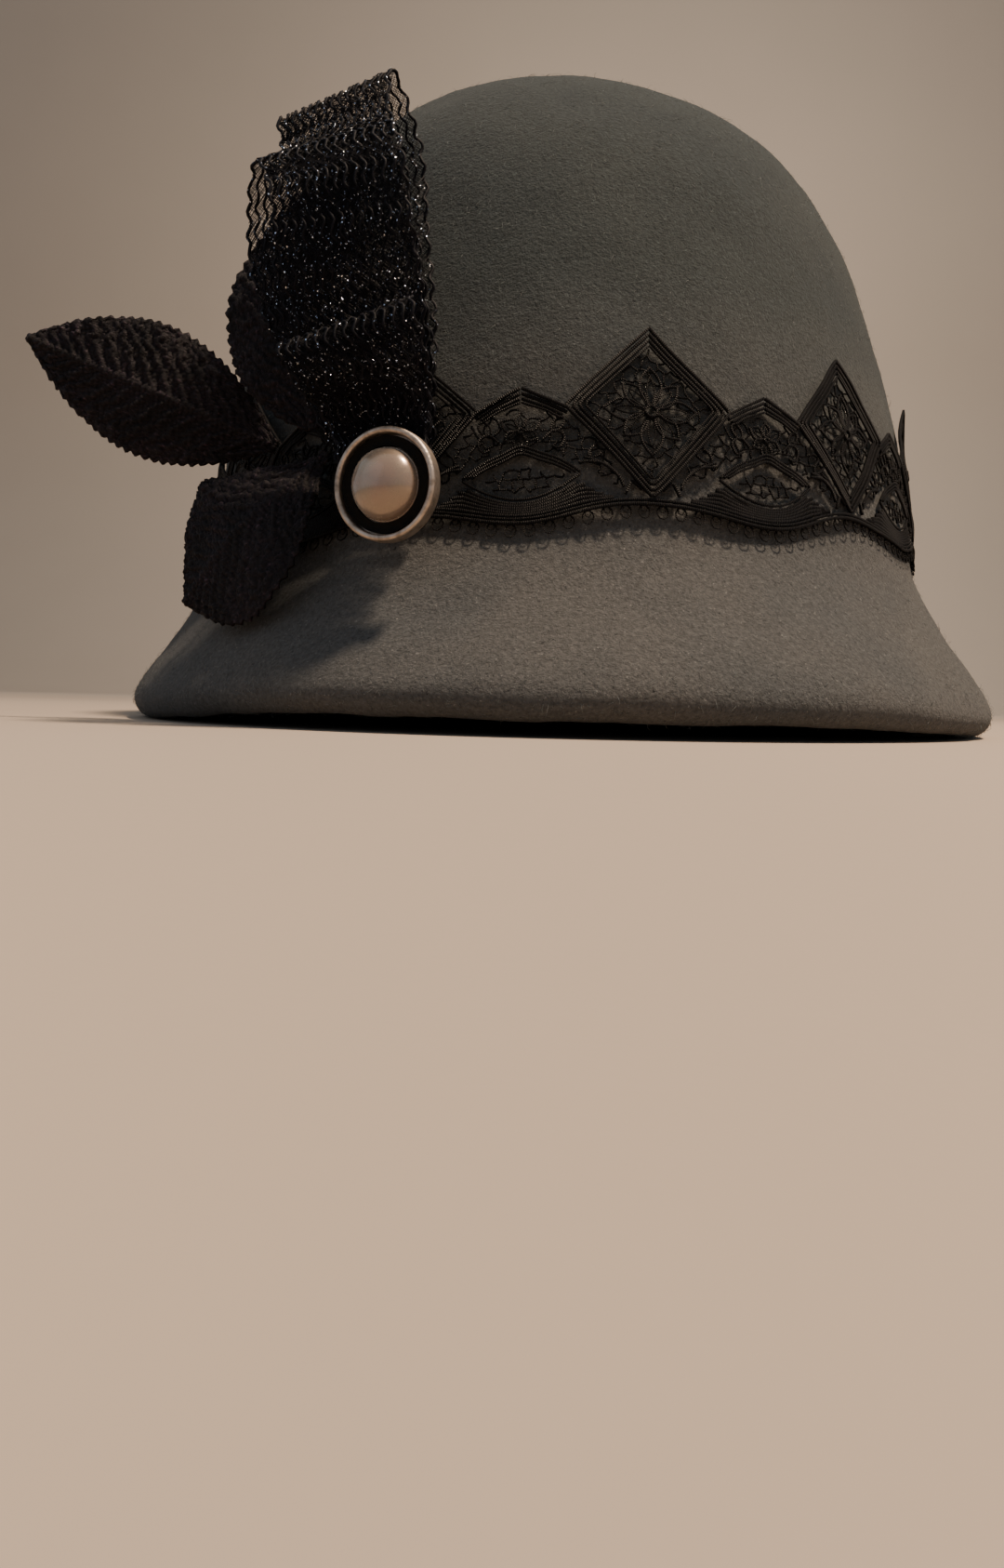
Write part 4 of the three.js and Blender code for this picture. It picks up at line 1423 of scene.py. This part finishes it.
class CLOCHE_OT_button(bpy.types.Operator):
    """Spin the button's cup, bed, pearl and the line round the pearl."""

    bl_idname = "cloche.button"
    bl_label = "Pearl button"

    def execute(self, context):
        settings = context.scene.cloche_button
        place = button_place()
        metal = metal_material(settings)
        pearl = pearl_material(settings)
        line = ring_profile(PEARL_RADIUS, PEARL_LINE_DEPTH, PEARL_LINE_THICKNESS)
        pieces = (
            ("button_cup", rim_profile(), metal, "button_metal", "button_rim"),
            ("button_bed", inlay_profile(), inlay_material(), "button_inlay", "button_inlay"),
            ("button_dome", pearl_profile(), pearl, "pearl", "button_pearl"),
            ("button_pearl_line", line, pearl, "pearl", None),
        )
        for name, profile, material, slot, node in pieces:
            piece = spun(name, profile, place)
            piece.data.materials.append(material)
            lay_out(piece, node)
            make_active(piece)
            bpy.ops.object.shade_smooth_by_angle(angle=math.radians(50))
        return {"FINISHED"}


class CLOCHE_OT_stage(bpy.types.Operator):
    """Set the floor, the lights and the camera."""

    bl_idname = "cloche.stage"
    bl_label = "Stage"

    def execute(self, context):
        settings = context.scene.cloche_stage
        backdrop(settings)
        studio_light(settings)
        photo_camera(settings)
        return {"FINISHED"}


class CLOCHE_PT_panel(bpy.types.Panel):
    """The steps of the hat, in order."""

    bl_label = "Felt cloche"
    bl_space_type = "VIEW_3D"
    bl_region_type = "UI"
    bl_category = "Cloche"

    def draw(self, context):
        for operator in OPERATORS:
            self.layout.operator(operator.bl_idname)


SETTINGS = {
    "cloche_felt": CLOCHE_felt_settings,
    "cloche_lace": CLOCHE_lace_settings,
    "cloche_net": CLOCHE_net_settings,
    "cloche_leaves": CLOCHE_leaf_settings,
    "cloche_button": CLOCHE_button_settings,
    "cloche_stage": CLOCHE_stage_settings,
}
OPERATORS = (
    CLOCHE_OT_stage,
    CLOCHE_OT_felt,
    CLOCHE_OT_lace,
    CLOCHE_OT_net,
    CLOCHE_OT_leaves,
    CLOCHE_OT_button,
)


def register():
    """Makes the settings, the operators and the panel known."""
    for name, group in SETTINGS.items():
        bpy.utils.register_class(group)
        setattr(bpy.types.Scene, name, PointerProperty(type=group))
    for operator in OPERATORS:
        bpy.utils.register_class(operator)
    bpy.utils.register_class(CLOCHE_PT_panel)


def unregister():
    """Takes them away again."""
    bpy.utils.unregister_class(CLOCHE_PT_panel)
    for operator in reversed(OPERATORS):
        bpy.utils.unregister_class(operator)
    for name, group in reversed(SETTINGS.items()):
        delattr(bpy.types.Scene, name)
        bpy.utils.unregister_class(group)


def main():
    """Makes the whole hat."""
    register()
    bpy.ops.cloche.stage()
    bpy.ops.cloche.felt()
    bpy.ops.cloche.lace()
    bpy.ops.cloche.net()
    bpy.ops.cloche.leaves()
    bpy.ops.cloche.button()


if __name__ == "__main__":
    main()
